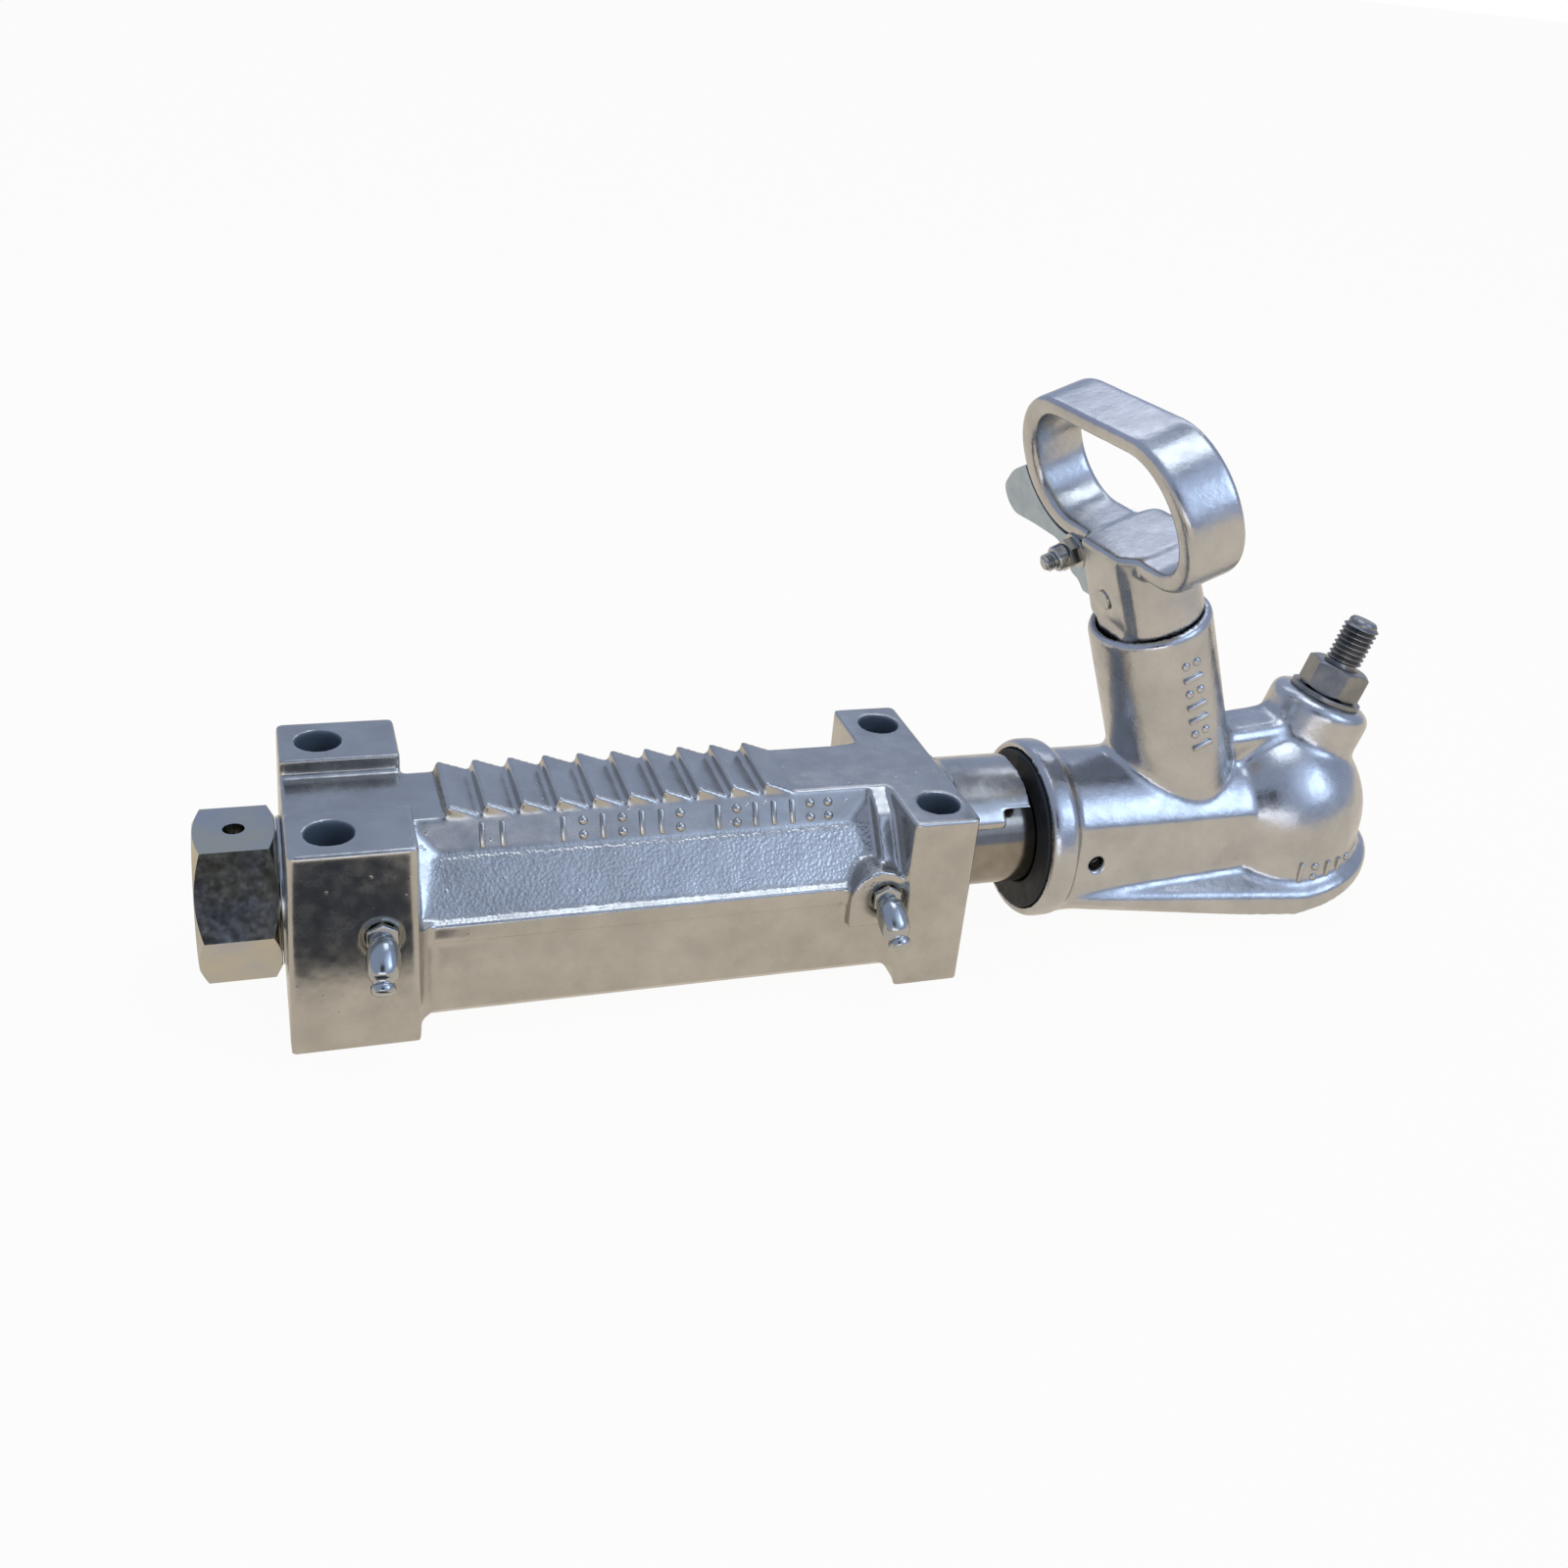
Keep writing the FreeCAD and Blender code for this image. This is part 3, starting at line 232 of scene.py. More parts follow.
height = add(tree, "ShaderNodeMath", {"operation": "MULTIPLY_ADD"}, i0=swells.outputs["Fac"], i1=4.0,
             i2=grain.outputs["Fac"])
relief = add(tree, "ShaderNodeBump", Strength=1.0, Distance=0.00005, Height=height.outputs[0])
shader = add(tree, "ShaderNodeBsdfPrincipled", Metallic=1.0, Roughness=gloss.outputs[0],
             Base_Color=colour.outputs[2], Normal=relief.outputs["Normal"])
add(tree, "ShaderNodeOutputMaterial", Surface=shader.outputs[0])
head.data.materials.append(cast_zinc)


# Handle: loop and stem in one investment casting, plated like the head. Its
# stem's foot is a little wider than the stem, and the guide below it all but
# fills the tower's bore, so that only a thin dark line shows round it.
handle = cast_skin("handle_casting", "handle_body", "handle",
                   grid=0.0007, swells=(0.0020, -0.0016), rounds=4, kept=1.0)
handle.data.materials.append(cast_zinc)
up = Vector(joints["handle_lift"]["axis"])
rear = up.cross(Vector((0, 1, 0)))
tower_foot = Vector((0.1847, 0, 0.0570))
stem = bmesh.new()
stem.from_mesh(handle.data)


def ring_of_stem(low, high, inner, outer):
    # The stem's vertices between two heights and two radii of the tower's axis.
    return [v for v in stem.verts if low < (v.co - tower_foot).dot(up) < high
            and inner < (v.co - tower_foot).cross(up).length < outer]


def scale_across_stem(ring, scale):
    fit = Matrix([[(1 - scale) * a * b for b in up] for a in up])
    for i in range(3):
        fit[i][i] += scale
    bmesh.ops.transform(stem, verts=ring, matrix=fit.to_4x4(), space=Matrix.Translation(-tower_foot))


foot_ring = ring_of_stem(low=0.0530, high=0.0600, inner=0.0141, outer=0.0300)
guide = ring_of_stem(low=-0.0600, high=0.0450, inner=0.0165, outer=0.0175)
neck = ring_of_stem(low=0.0430, high=0.0546, inner=0.01394, outer=0.01406)
neck_top = ring_of_stem(low=0.0540, high=0.0546, inner=0.01394, outer=0.01406)
foot_growth = 1.10
guide_growth = 0.965
neck_growth = 1.157
foot_drop = 0.0004
neck_drop = 0.0010
scale_across_stem(foot_ring, foot_growth)
scale_across_stem(guide, guide_growth)
scale_across_stem(neck, neck_growth)
# The stem's rear flat, which carries the pin's end, stays where it was.
for v in foot_ring:
    reach = (v.co - tower_foot).dot(rear)
    if reach > 0.0120:
        v.co -= rear * reach * (1 - 1 / foot_growth)
bmesh.ops.translate(stem, verts=foot_ring, vec=-up * foot_drop)
bmesh.ops.translate(stem, verts=neck_top, vec=-up * neck_drop)
stem.to_mesh(handle.data)
stem.free()


# Bright zinc plate: the small steel parts, and every piece that no later
# section finishes. Smoother than the castings and almost clean, with faint
# clouds of about 16 mm in the passivated film and wear of 2.5 mm.
bright_zinc, tree = new_material("bright_zinc_plated_steel")
place = add(tree, "ShaderNodeTexCoord").outputs["Object"]
clouds = add(tree, "ShaderNodeTexNoise", Vector=place, Scale=1 / 0.016, Detail=3.0, Roughness=0.5)
tone = add(tree, "ShaderNodeMapRange", Value=clouds.outputs["Fac"], i1=0.35, i2=0.65)
colour = add(tree, "ShaderNodeMix", {"data_type": "RGBA"}, i0=tone.outputs[0],
             i6=linear("#a9acad"), i7=linear("#b8b7b2"))
wear = add(tree, "ShaderNodeTexNoise", Vector=place, Scale=1 / 0.0025, Detail=4.0, Roughness=0.65)
gloss = add(tree, "ShaderNodeMapRange", Value=wear.outputs["Fac"], i1=0.3, i2=0.7, i3=0.14, i4=0.28)
relief = add(tree, "ShaderNodeBump", Strength=1.0, Distance=0.00001, Height=wear.outputs["Fac"])
shader = add(tree, "ShaderNodeBsdfPrincipled", Metallic=1.0, Roughness=gloss.outputs[0],
             Base_Color=colour.outputs[2], Normal=relief.outputs["Normal"])
add(tree, "ShaderNodeOutputMaterial", Surface=shader.outputs[0])


def coat(node, finish):
    nodes[node].data.materials.clear()
    nodes[node].data.materials.append(finish)


for name in nodes:
    coat(name, bright_zinc)


# Washers and the trigger's nut: turned or punched steel. Their edges are broken
# by a fine chamfer, as a lathe or a barrel of stones leaves them.
def eased_copy(node, name, body, finish, width):
    piece = joined_copy(node, name)
    shell = bmesh.new()
    shell.from_mesh(piece.data)
    sharp = [e for e in shell.edges if len(e.link_faces) == 2 and e.calc_face_angle() > math.radians(28)]
    bmesh.ops.bevel(shell, geom=sharp, offset=width, offset_type="OFFSET", segments=2,
                    profile=0.5, affect="EDGES", clamp_overlap=True, material=-1)
    shell.to_mesh(piece.data)
    shell.free()
    piece.data.shade_smooth()
    piece.data.set_sharp_from_angle(angle=math.radians(38))
    flat = piece.modifiers.new("flat_faces_stay_flat", "WEIGHTED_NORMAL")
    flat.keep_sharp = True
    piece.data.materials.append(finish)
    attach(piece, body)
    return piece


eased_copy("thrust_washer", "thrust_washer_eased", "thrust_washer", bright_zinc,
           width=0.0002)
eased_copy("trigger_washer", "trigger_washer_eased", "handle", bright_zinc, width=0.0002)
eased_copy("trigger_nut", "trigger_nut_eased", "handle", bright_zinc, width=0.0002)


# Shaft nut: hexagon bar, turned and plated in straw zinc. Its thicker film runs
# from grey to a faint straw colour in clouds of about 14 mm, and its flats
# carry fine wear.
straw_zinc, tree = new_material("straw_zinc_plated_steel")
place = add(tree, "ShaderNodeTexCoord").outputs["Object"]
clouds = add(tree, "ShaderNodeTexNoise", Vector=place, Scale=1 / 0.014, Detail=3.0, Roughness=0.5)
tone = add(tree, "ShaderNodeMapRange", Value=clouds.outputs["Fac"], i1=0.35, i2=0.65)
colour = add(tree, "ShaderNodeMix", {"data_type": "RGBA"}, i0=tone.outputs[0],
             i6=linear("#adaeb0"), i7=linear("#bdb6a2"))
wear = add(tree, "ShaderNodeTexNoise", Vector=place, Scale=1 / 0.0025, Detail=4.0, Roughness=0.65)
gloss = add(tree, "ShaderNodeMapRange", Value=wear.outputs["Fac"], i1=0.3, i2=0.7, i3=0.14, i4=0.26)
relief = add(tree, "ShaderNodeBump", Strength=1.0, Distance=0.00001, Height=wear.outputs["Fac"])
shader = add(tree, "ShaderNodeBsdfPrincipled", Metallic=1.0, Roughness=gloss.outputs[0],
             Base_Color=colour.outputs[2], Normal=relief.outputs["Normal"])
add(tree, "ShaderNodeOutputMaterial", Surface=shader.outputs[0])
eased_copy("shaft_nut", "shaft_nut_eased", "drawbar", straw_zinc, width=0.0004)


# Ball adjuster: stud, washer and lock nut in dull zinc, weathered to a darker
# and flatter grey with grime of about 6 mm. Past its nut the stud is turned
# down to the thread's root, and the rolled thread is a ridge wound round it.
dull_zinc, tree = new_material("dull_zinc_plated_steel")
place = add(tree, "ShaderNodeTexCoord").outputs["Object"]
grime = add(tree, "ShaderNodeTexNoise", Vector=place, Scale=1 / 0.006, Detail=4.0, Roughness=0.6)
tone = add(tree, "ShaderNodeMapRange", Value=grime.outputs["Fac"], i1=0.35, i2=0.65)
colour = add(tree, "ShaderNodeMix", {"data_type": "RGBA"}, i0=tone.outputs[0],
             i6=linear("#7b7c7e"), i7=linear("#96948f"))
gloss = add(tree, "ShaderNodeMapRange", Value=grime.outputs["Fac"], i1=0.3, i2=0.7, i3=0.26, i4=0.42)
shader = add(tree, "ShaderNodeBsdfPrincipled", Metallic=1.0, Roughness=gloss.outputs[0],
             Base_Color=colour.outputs[2])
add(tree, "ShaderNodeOutputMaterial", Surface=shader.outputs[0])
eased_copy("adjuster_nut", "adjuster_nut_eased", "drawbar", dull_zinc, width=0.0003)
eased_copy("adjuster_washer", "adjuster_washer_eased", "drawbar", dull_zinc,
           width=0.0002)


def threaded_end(piece, name, body, foot, along, crest, pitch, length):
    # The thread's depth is 0.61 of its pitch.
    root = crest - 0.61 * pitch
    shell = bmesh.new()
    shell.from_mesh(piece.data)
    for step in (0.0, 0.0002):
        bmesh.ops.bisect_plane(shell, geom=shell.verts[:] + shell.edges[:] + shell.faces[:],
                               dist=0.0000001, plane_co=foot + along * step, plane_no=along)
    beyond = [v for v in shell.verts if (v.co - foot).dot(along) > 0.0001]
    share = root / crest
    squeeze = Matrix([[(1 - share) * a * b for b in along] for a in along])
    for i in range(3):
        squeeze[i][i] += share
    bmesh.ops.transform(shell, verts=beyond, matrix=squeeze.to_4x4(), space=Matrix.Translation(-foot))
    shell.to_mesh(piece.data)
    shell.free()
    ridge = bmesh.new()
    side = along.orthogonal().normalized()
    section = [(root, 0.0), (crest, 0.42), (crest, 0.58), (root, 1.0)]
    dots = [ridge.verts.new(foot + side * r + along * (h * pitch)) for r, h in section]
    lines = [ridge.edges.new(pair) for pair in zip(dots, dots[1:])]
    turns = length / pitch - 1
    steps = int(28 * turns)
    bmesh.ops.spin(ridge, geom=dots + lines, cent=foot, axis=along, dvec=along * (turns * pitch / steps),
                   angle=2 * math.pi * turns, steps=steps, use_duplicate=False)
    bmesh.ops.recalc_face_normals(ridge, faces=ridge.faces)
    mesh = bpy.data.meshes.new(name)
    ridge.to_mesh(mesh)
    ridge.free()
    mesh.materials.append(piece.data.materials[0])
    thread = bpy.data.objects.new(name, mesh)
    scene.collection.objects.link(thread)
    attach(thread, body)


ball_centre = Vector(mounts["ball_socket"]["pos_m"])
stud_tilt = math.radians(17.5)
stud_way = Vector((math.sin(stud_tilt), 0, math.cos(stud_tilt)))
stud = eased_copy("adjuster_stud", "adjuster_stud_bar", "drawbar", dull_zinc,
                  width=0.0002)
past_nut = ball_centre + stud_way * 0.0545
threaded_end(stud, "adjuster_stud_thread", "drawbar", past_nut, stud_way,
             crest=0.006, pitch=0.00175, length=0.0160)


# Trigger bolt: an M6 bolt in bright zinc, through the handle's lug from behind.
# Its thread is rolled like the stud's and ends past the self-locking nut.
pivot = joints["trigger_press"]
bolt_way = -Vector(pivot["axis"])
bolt = eased_copy("trigger_bolt", "trigger_bolt_bar", "handle", bright_zinc,
                  width=0.0002)
past_nut = Vector(pivot["pos_m"]) + bolt_way * 0.0106
threaded_end(bolt, "trigger_bolt_thread", "handle", past_nut, bolt_way,
             crest=0.003, pitch=0.001, length=0.0036)


# Grease nipples: forged steel elbows in bright zinc, screwed into their spot
# faces. Each has a hexagon, a stout round body turned down, a neck and a
# button that the grease gun snaps on.
cad_corner = 0.00485
cad_flat = 0.0042
hexagon = 0.0048
hexagon_depth = 0.0022
# The turned outline in millimetres: radius, and height along the elbow's way.
nipple_body = [(0, -3.4), (1.9, -3.0), (3.3, -1.9), (4.2, -0.2), (4.6, 2.0), (4.65, 5.0), (4.4, 7.2),
               (3.7, 8.5), (3.0, 9.0)]
nipple_neck = [(2.9, 9.8), (3.3, 10.1)]
nipple_button = [(3.4, 10.5), (3.4, 11.7), (3.0, 12.4), (2.0, 12.9), (0, 13.1)]
nipple_outline = nipple_body + nipple_neck + nipple_button
for end, lean in (("rear", math.radians(-6)), ("front", math.radians(8))):
    low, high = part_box(end + "_grease_nipple")
    place = Vector((low[0] + cad_corner, high[1] + 0.0001, high[2] - cad_flat))
    shell = bmesh.new()
    outwards = Matrix.Translation(place - Vector((0, 0.0009, 0))) @ Matrix.Rotation(math.pi / 2, 4, "X")
    bmesh.ops.create_cone(shell, cap_ends=True, segments=6, radius1=hexagon, radius2=hexagon,
                          depth=hexagon_depth, matrix=outwards)
    rims = [e for e in shell.edges if e.calc_face_angle() > 0.5]
    bmesh.ops.bevel(shell, geom=rims, offset=0.00025, segments=2, profile=0.5, affect="EDGES", material=-1)
    way = Vector((math.sin(lean), -1, -math.cos(lean))).normalized()
    sideways = way.orthogonal().normalized()
    elbow = place + Vector((0, -0.0040, -0.0012))
    dots = [shell.verts.new(elbow + sideways * (r / 1000) + way * (h / 1000)) for r, h in nipple_outline]
    lines = [shell.edges.new(pair) for pair in zip(dots, dots[1:])]
    bmesh.ops.spin(shell, geom=dots + lines, cent=elbow, axis=way, dvec=(0, 0, 0), angle=2 * math.pi,
                   steps=40, use_merge=True, use_duplicate=False)
    bmesh.ops.remove_doubles(shell, verts=shell.verts, dist=0.000001)
    bmesh.ops.recalc_face_normals(shell, faces=shell.faces)
    mesh = bpy.data.meshes.new(end + "_nipple_elbow")
    shell.to_mesh(mesh)
    shell.free()
    mesh.shade_smooth()
    mesh.set_sharp_from_angle(angle=math.radians(50))
    mesh.materials.append(bright_zinc)
    nipple = bpy.data.objects.new(end + "_nipple_elbow", mesh)
    scene.collection.objects.link(nipple)
    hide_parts(end + "_grease_nipple")
    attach(nipple, "housing")


# Handle pin: a plain parallel pin of bright steel, driven through the stem and
# filed almost flush with its rear flat.
fore = Vector(pivot["axis"])
low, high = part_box("handle_pin")
pin_mid = (Vector(low) + Vector(high)) / 2 + fore * 0.00035
pin_radius = 0.00318
pin_length = 0.0306
along_pin = fore.to_track_quat("Z", "Y").to_matrix().to_4x4()
pin_shell = bmesh.new()
bmesh.ops.create_cone(pin_shell, cap_ends=True, segments=48, radius1=pin_radius, radius2=pin_radius,
                      depth=pin_length, matrix=Matrix.Translation(pin_mid) @ along_pin)
pin_rims = [e for e in pin_shell.edges if len(e.link_faces) == 2 and e.calc_face_angle() > 1.0]
bmesh.ops.bevel(pin_shell, geom=pin_rims, offset=0.0003, segments=2, profile=0.5, affect="EDGES",
                material=-1)
pin_mesh = bpy.data.meshes.new("handle_pin_plain")
pin_shell.to_mesh(pin_mesh)
pin_shell.free()
pin_mesh.materials.append(bright_zinc)
pin = bpy.data.objects.new("handle_pin_plain", pin_mesh)
scene.collection.objects.link(pin)
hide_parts("handle_pin")
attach(pin, "handle")


# Raised marks: plain foundry tallies on the panel, the tower and the cup, cast
# with the metal and almost a millimetre proud. In a tally's kinds, s is a
# stroke, d is two dots and a blank is left out.
stroke_size = (0.0016, 0.0074, 0.0018, 1)
dot_size = (0.0015, 0.0015, 0.0009, 1)
dot_shift = 0.0021


def tally(name, body, kinds, spots, finish):
    shell = bmesh.new()
    for kind, (place, out, along) in zip(kinds, spots):
        turned = Matrix((along.cross(out), along, out)).transposed().to_4x4()
        spot = Matrix.Translation(place) @ turned
        if kind == "s":
            stroke = spot @ Matrix.Diagonal(stroke_size)
            bmesh.ops.create_cube(shell, size=1.0, matrix=stroke)
        if kind == "d":
            for shift in (-dot_shift, dot_shift):
                dot = spot @ Matrix.Translation((0, shift, 0)) @ Matrix.Diagonal(dot_size)
                bmesh.ops.create_uvsphere(shell, u_segments=16, v_segments=8, radius=1.0, matrix=dot)
    square = [e for e in shell.edges if len(e.link_faces) == 2 and e.calc_face_angle() > 1.4]
    bmesh.ops.bevel(shell, geom=square, offset=0.0004, segments=2, profile=0.5, affect="EDGES", material=-1)
    mesh = bpy.data.meshes.new(name)
    shell.to_mesh(mesh)
    shell.free()
    mesh.shade_smooth()
    mesh.materials.append(finish)
    piece = bpy.data.objects.new(name, mesh)
    scene.collection.objects.link(piece)
    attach(piece, body)


panel_lean = math.radians(24.885)
panel_out = Vector((0, -math.cos(panel_lean), math.sin(panel_lean)))
panel_up = Vector((0, math.sin(panel_lean), math.cos(panel_lean)))
panel_kinds = "ss  sdsdssd sdsssdd"
panel_spots = [(Vector((-0.047 + 0.0058 * i, -0.01640, 0.0534)), panel_out, panel_up)
               for i in range(len(panel_kinds))]
tally("panel_tally", "housing", panel_kinds, panel_spots, sand_zinc)
tower_out = (up.cross(Vector((0, -1, 0))) * 0.15 + Vector((0, -0.99, 0))).normalized()
tower_kinds = "sdssdsd"
tower_spots = [(tower_foot + up * (0.0110 + 0.0052 * i) + tower_out * 0.0199, tower_out, tower_out.cross(up))
               for i in range(len(tower_kinds))]
tally("tower_tally", "drawbar", tower_kinds, tower_spots, cast_zinc)
cup_kinds = "sdssd"
cup_spots = []
for i in range(len(cup_kinds)):
    turn = math.radians(-98 + 9.5 * i)
    out = Vector((math.cos(turn), math.sin(turn), 0))
    cup_spots.append((ball_centre + out * 0.0322 + Vector((0, 0, -0.0105)), out, Vector((0, 0, 1))))
tally("cup_tally", "drawbar", cup_kinds, cup_spots, cast_zinc)


# Trigger plate: pressed from 3 mm sheet, its edges rolled over by the punch.
# Its plating is duller and bluer than that of the turned parts, in clouds of
# about 10 mm.
blue_zinc, tree = new_material("blue_zinc_plated_sheet")
place = add(tree, "ShaderNodeTexCoord").outputs["Object"]
clouds = add(tree, "ShaderNodeTexNoise", Vector=place, Scale=1 / 0.010, Detail=4.0, Roughness=0.6)
tone = add(tree, "ShaderNodeMapRange", Value=clouds.outputs["Fac"], i1=0.35, i2=0.65)
colour = add(tree, "ShaderNodeMix", {"data_type": "RGBA"}, i0=tone.outputs[0],
             i6=linear("#a6b5c2"), i7=linear("#b6c3ce"))
wear = add(tree, "ShaderNodeTexNoise", Vector=place, Scale=1 / 0.002, Detail=3.0, Roughness=0.6)
gloss = add(tree, "ShaderNodeMapRange", Value=wear.outputs["Fac"], i1=0.3, i2=0.7, i3=0.34, i4=0.46)
relief = add(tree, "ShaderNodeBump", Strength=1.0, Distance=0.00002, Height=wear.outputs["Fac"])
shader = add(tree, "ShaderNodeBsdfPrincipled", Metallic=1.0, Roughness=gloss.outputs[0],
             Base_Color=colour.outputs[2], Normal=relief.outputs["Normal"])
add(tree, "ShaderNodeOutputMaterial", Surface=shader.outputs[0])
eased_copy("trigger_plate", "trigger_plate_eased", "trigger", blue_zinc, width=0.0004)


# Drawbar shaft: ground and hard plated, darker than zinc, with an oily brown
# bloom. The wheel's marks run round it; they are finer than drawn, at 0.3 mm
# along the shaft, so that they show.
dark_chrome, tree = new_material("hard_plated_ground_steel")
place = add(tree, "ShaderNodeTexCoord").outputs["Object"]
bloom = add(tree, "ShaderNodeTexNoise", Vector=place, Scale=1 / 0.012, Detail=3.0, Roughness=0.5)
tone = add(tree, "ShaderNodeMapRange", Value=bloom.outputs["Fac"], i1=0.35, i2=0.65)
colour = add(tree, "ShaderNodeMix", {"data_type": "RGBA"}, i0=tone.outputs[0],
             i6=linear("#7f776c"), i7=linear("#968f86"))
turned = add(tree, "ShaderNodeMapping", Vector=place, Scale=(1 / 0.0003, 1 / 0.05, 1 / 0.05))
marks = add(tree, "ShaderNodeTexNoise", Vector=turned.outputs[0], Scale=1.0, Detail=3.0, Roughness=0.6)
gloss = add(tree, "ShaderNodeMapRange", Value=marks.outputs["Fac"], i1=0.3, i2=0.7, i3=0.10, i4=0.20)
relief = add(tree, "ShaderNodeBump", Strength=1.0, Distance=0.000005, Height=marks.outputs["Fac"])
shader = add(tree, "ShaderNodeBsdfPrincipled", Metallic=1.0, Roughness=gloss.outputs[0],
             Base_Color=colour.outputs[2], Normal=relief.outputs["Normal"])
add(tree, "ShaderNodeOutputMaterial", Surface=shader.outputs[0])
coat("drawbar_shaft", dark_chrome)


# Buffer behind the collar and the two wiper seals: moulded black rubber,
# pushed into their seats. Near black, with a dusty bloom of about 4 mm and no
# shine.
rubber, tree = new_material("moulded_black_rubber")
place = add(tree, "ShaderNodeTexCoord").outputs["Object"]
dust = add(tree, "ShaderNodeTexNoise", Vector=place, Scale=1 / 0.004, Detail=5.0, Roughness=0.65)
tone = add(tree, "ShaderNodeMapRange", Value=dust.outputs["Fac"], i1=0.35, i2=0.65)
colour = add(tree, "ShaderNodeMix", {"data_type": "RGBA"}, i0=tone.outputs[0],
             i6=linear("#17191c"), i7=linear("#26292d"))
gloss = add(tree, "ShaderNodeMapRange", Value=dust.outputs["Fac"], i1=0.3, i2=0.7, i3=0.5, i4=0.7)
shader = add(tree, "ShaderNodeBsdfPrincipled", Roughness=gloss.outputs[0], Base_Color=colour.outputs[2])
add(tree, "ShaderNodeOutputMaterial", Surface=shader.outputs[0])
for name in ("rubber_buffer", "rear_wiper_seal", "front_wiper_seal"):
    coat(name, rubber)


# Shaft bushes: bearing bronze, machined and pressed into the housing's bore,
# browned by grease in stains of about 6 mm.
bronze, tree = new_material("bearing_bronze")
place = add(tree, "ShaderNodeTexCoord").outputs["Object"]
stain = add(tree, "ShaderNodeTexNoise", Vector=place, Scale=1 / 0.006, Detail=4.0, Roughness=0.6)
tone = add(tree, "ShaderNodeMapRange", Value=stain.outputs["Fac"], i1=0.35, i2=0.65)
colour = add(tree, "ShaderNodeMix", {"data_type": "RGBA"}, i0=tone.outputs[0],
             i6=linear("#8f6c45"), i7=linear("#b08b5e"))
gloss = add(tree, "ShaderNodeMapRange", Value=stain.outputs["Fac"], i1=0.3, i2=0.7, i3=0.25, i4=0.42)
shader = add(tree, "ShaderNodeBsdfPrincipled", Metallic=1.0, Roughness=gloss.outputs[0],
             Base_Color=colour.outputs[2])
add(tree, "ShaderNodeOutputMaterial", Surface=shader.outputs[0])
coat("rear_shaft_bush", bronze)
coat("front_shaft_bush", bronze)


# Springs: drawn steel wire, blackened in oil, spotted brown. The trigger's is
# wound on its bolt. The plunger's stays on its seat in the tower; the real one is
# pressed together from below as the handle lifts, but its copy here keeps one shape.
spring_wire, tree = new_material("oiled_spring_wire")
place = add(tree, "ShaderNodeTexCoord").outputs["Object"]
scale_spots = add(tree, "ShaderNodeTexNoise", Vector=place, Scale=1 / 0.002, Detail=3.0, Roughness=0.6)
tone = add(tree, "ShaderNodeMapRange", Value=scale_spots.outputs["Fac"], i1=0.35, i2=0.65)
colour = add(tree, "ShaderNodeMix", {"data_type": "RGBA"}, i0=tone.outputs[0],
             i6=linear("#57534f"), i7=linear("#77726c"))
gloss = add(tree, "ShaderNodeMapRange", Value=scale_spots.outputs["Fac"], i1=0.3, i2=0.7, i3=0.28, i4=0.45)
shader = add(tree, "ShaderNodeBsdfPrincipled", Metallic=1.0, Roughness=gloss.outputs[0],
             Base_Color=colour.outputs[2])
add(tree, "ShaderNodeOutputMaterial", Surface=shader.outputs[0])
coat("plunger_spring", spring_wire)
coat("trigger_spring", spring_wire)
spring = joined_copy("plunger_spring", "return_spring")
spring.data.materials.append(spring_wire)
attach(spring, "drawbar")
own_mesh(spring)


# Floor: a wide sheet of white paper. Seen directly it is white, in the metal it
# is the warm white of paper in lamplight, and it keeps the coupling's shadow.
floor_mesh = bpy.data.meshes.new("studio_floor")
sheet = bmesh.new()
bmesh.ops.create_grid(sheet, x_segments=1, y_segments=1, size=20.0)
bmesh.ops.translate(sheet, verts=sheet.verts, vec=(0, 0, -0.0002))
sheet.to_mesh(floor_mesh)
sheet.free()
floor = bpy.data.objects.new("studio_floor", floor_mesh)
scene.collection.objects.link(floor)
paper, tree = new_material("white_paper")
ray = add(tree, "ShaderNodeLightPath")
mirrored = add(tree, "ShaderNodeMath", {"operation": "MAXIMUM"}, i0=ray.outputs["Is Glossy Ray"],
               i1=ray.outputs["Is Transmission Ray"])
mirrored = add(tree, "ShaderNodeMath", {"operation": "MULTIPLY"}, i0=mirrored.outputs[0], i1=0.8)
direct = add(tree, "ShaderNodeMath", {"operation": "MULTIPLY"}, i0=ray.outputs["Is Camera Ray"], i1=0.95)
share = add(tree, "ShaderNodeMath", {"operation": "MAXIMUM"}, i0=direct.outputs[0], i1=mirrored.outputs[0])
matt = add(tree, "ShaderNodeBsdfDiffuse", Color=linear("#efdabb"))
glow = add(tree, "ShaderNodeMix", {"data_type": "RGBA"}, i0=ray.outputs["Is Camera Ray"],
           i6=linear("#f9efe0"), i7=linear("#ffffff"))
white = add(tree, "ShaderNodeEmission", Strength=1.0, Color=glow.outputs[2])
mixed = add(tree, "ShaderNodeMixShader", i0=share.outputs[0], i1=matt.outputs[0], i2=white.outputs[0])
add(tree, "ShaderNodeOutputMaterial", Surface=mixed.outputs[0])
floor_mesh.materials.append(paper)


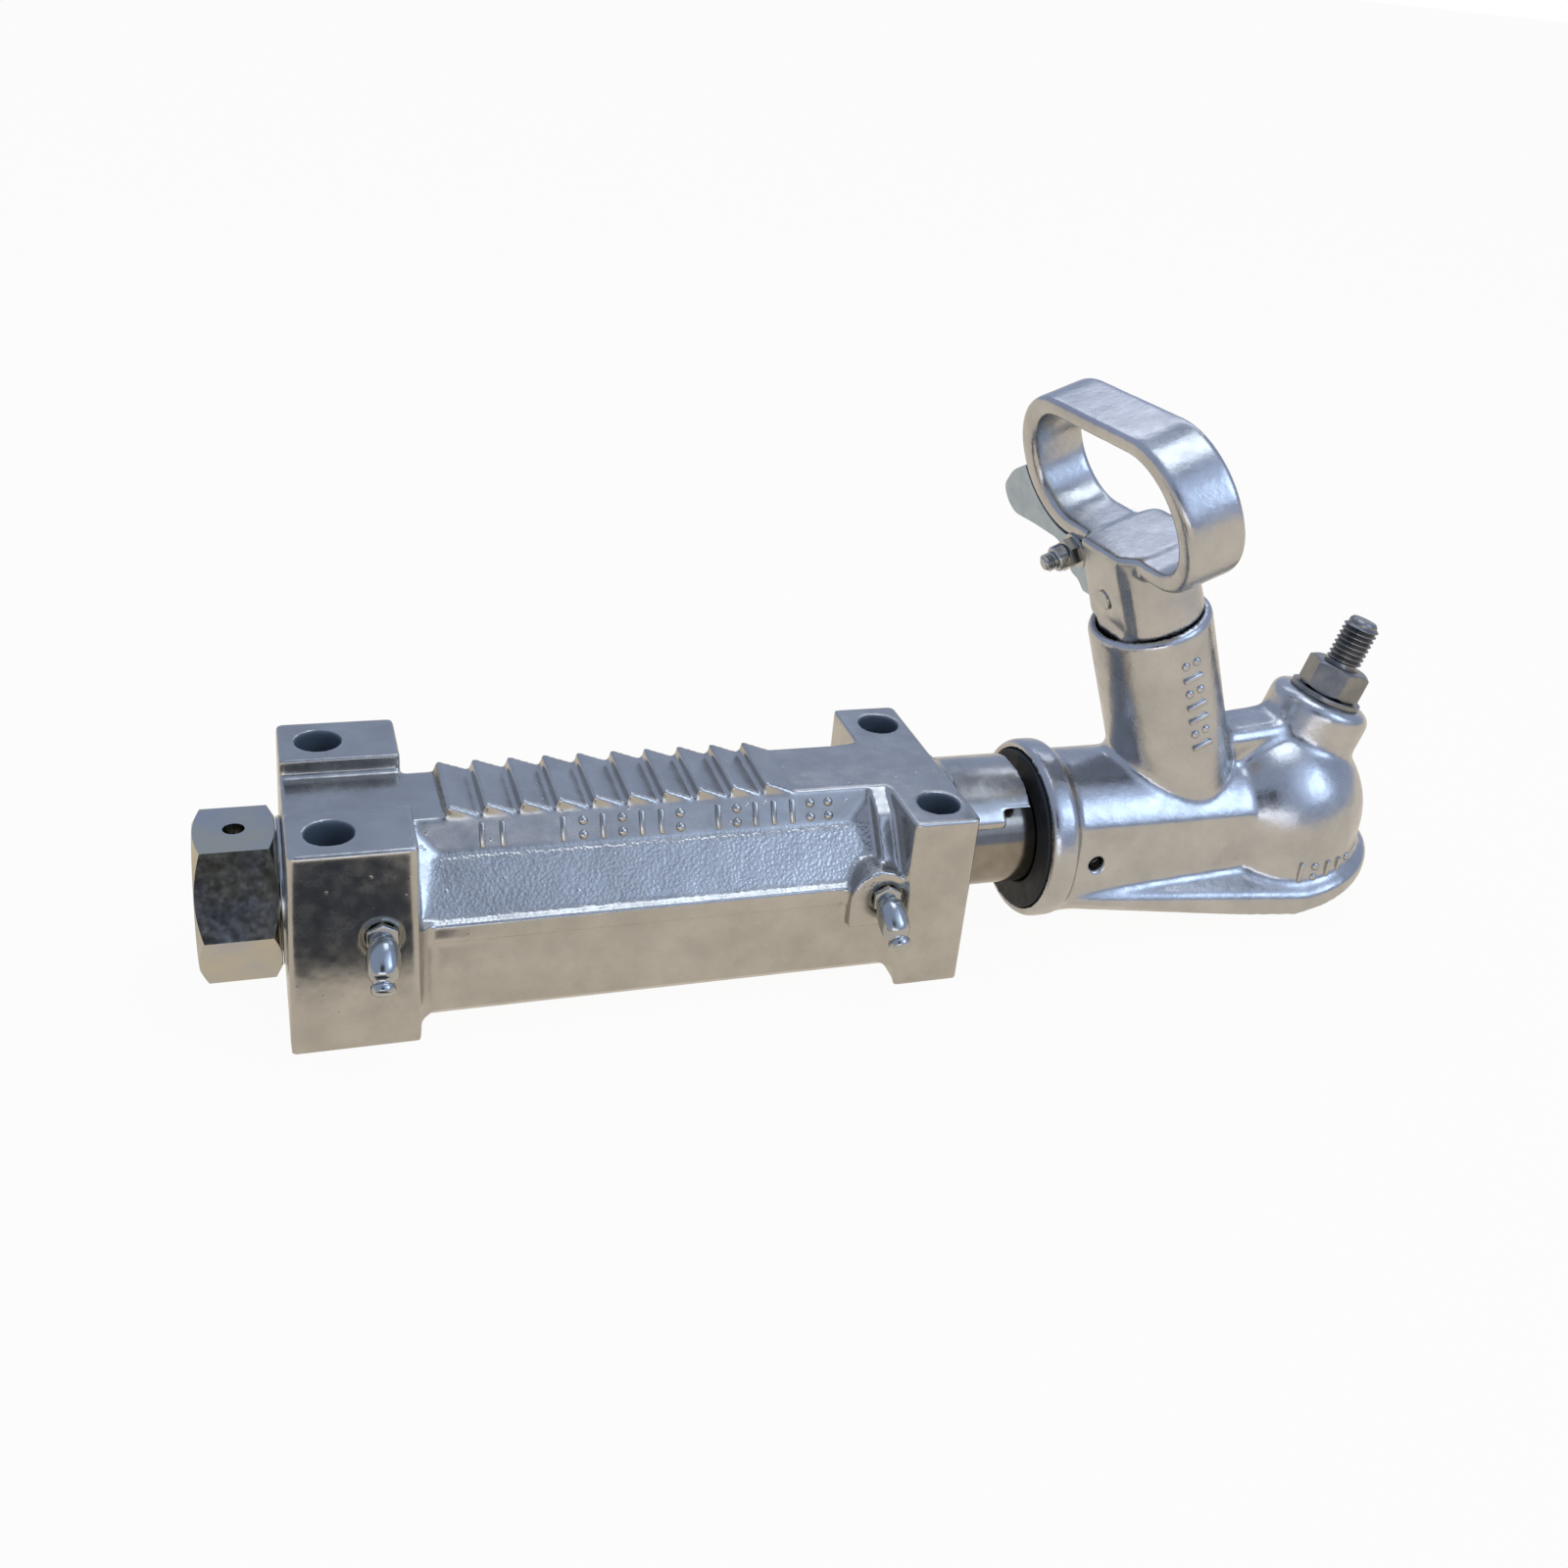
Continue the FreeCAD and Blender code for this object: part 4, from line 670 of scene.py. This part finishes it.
# Light: a cool grey room that is white behind the coupling, a broad softbox and
# a smaller one to the right above the camera, one overhead, one behind the
# handle and a faint one low in front.
scene.view_settings.view_transform = "Standard"
room = bpy.data.worlds.new("grey_room")
room.use_nodes = True
tree = room.node_tree
tree.nodes.clear()
ray = add(tree, "ShaderNodeLightPath")
grey = add(tree, "ShaderNodeBackground", Color=linear("#aabadb"), Strength=1.0)
white = add(tree, "ShaderNodeBackground", Color=linear("#ffffff"), Strength=1.0)
mixed = add(tree, "ShaderNodeMixShader", i0=ray.outputs["Is Camera Ray"], i1=grey.outputs[0],
            i2=white.outputs[0])
add(tree, "ShaderNodeOutputWorld", Surface=mixed.outputs[0])
scene.world = room


def softbox(name, place, width, height, watts, hex_colour):
    lamp = bpy.data.lights.new(name, "AREA")
    lamp.shape = "RECTANGLE"
    lamp.size = width
    lamp.size_y = height
    lamp.energy = watts
    lamp.color = linear(hex_colour)[:3]
    box = bpy.data.objects.new(name, lamp)
    box.location = place
    aim = Vector((0.06, 0, 0.04)) - Vector(place)
    box.rotation_euler = aim.to_track_quat("-Z", "Y").to_euler()
    box.visible_camera = False
    scene.collection.objects.link(box)


softbox("sky_softbox", (0.75, -0.95, 1.0), 1.2, 1.1, 2.4, "#bcd6ff")
softbox("window_softbox", (0.88, -0.81, 0.82), 0.5, 0.6, 2.4, "#c5deff")
softbox("rim_softbox", (0.27, 0.30, 0.43), 0.36, 0.12, 0.17, "#ecf1ff")
softbox("top_softbox", (0.30, 0.05, 1.25), 0.6, 0.6, 2.6, "#e5f1ff")
softbox("front_softbox", (-0.3, -1.2, 0.2), 1.0, 0.25, 1.6, "#f6f8ff")


# Two dark cards that only the metal sees: the dark side of the room, and the
# shade on the floor before the rear lug, as nut and lug mirror them.
def dark_card(name, place, width, depth, tilt_degrees):
    mesh = bpy.data.meshes.new(name)
    sheet = bmesh.new()
    bmesh.ops.create_grid(sheet, x_segments=1, y_segments=1, size=0.5)
    bmesh.ops.scale(sheet, verts=sheet.verts, vec=(width, depth, 1))
    turned = Matrix.Translation(place) @ Matrix.Rotation(math.radians(tilt_degrees), 4, "X")
    bmesh.ops.transform(sheet, verts=sheet.verts, matrix=turned)
    sheet.to_mesh(mesh)
    sheet.free()
    mesh.materials.append(rubber)
    card = bpy.data.objects.new(name, mesh)
    scene.collection.objects.link(card)
    card.visible_camera = False
    card.visible_diffuse = False
    card.visible_shadow = False


dark_card("dark_side_of_room", (-0.20, -0.62, 0.42), 0.34, 0.34, 60)
dark_card("shade_on_floor", (-0.10, -0.165, 0.0005), 0.10, 0.18, 0)
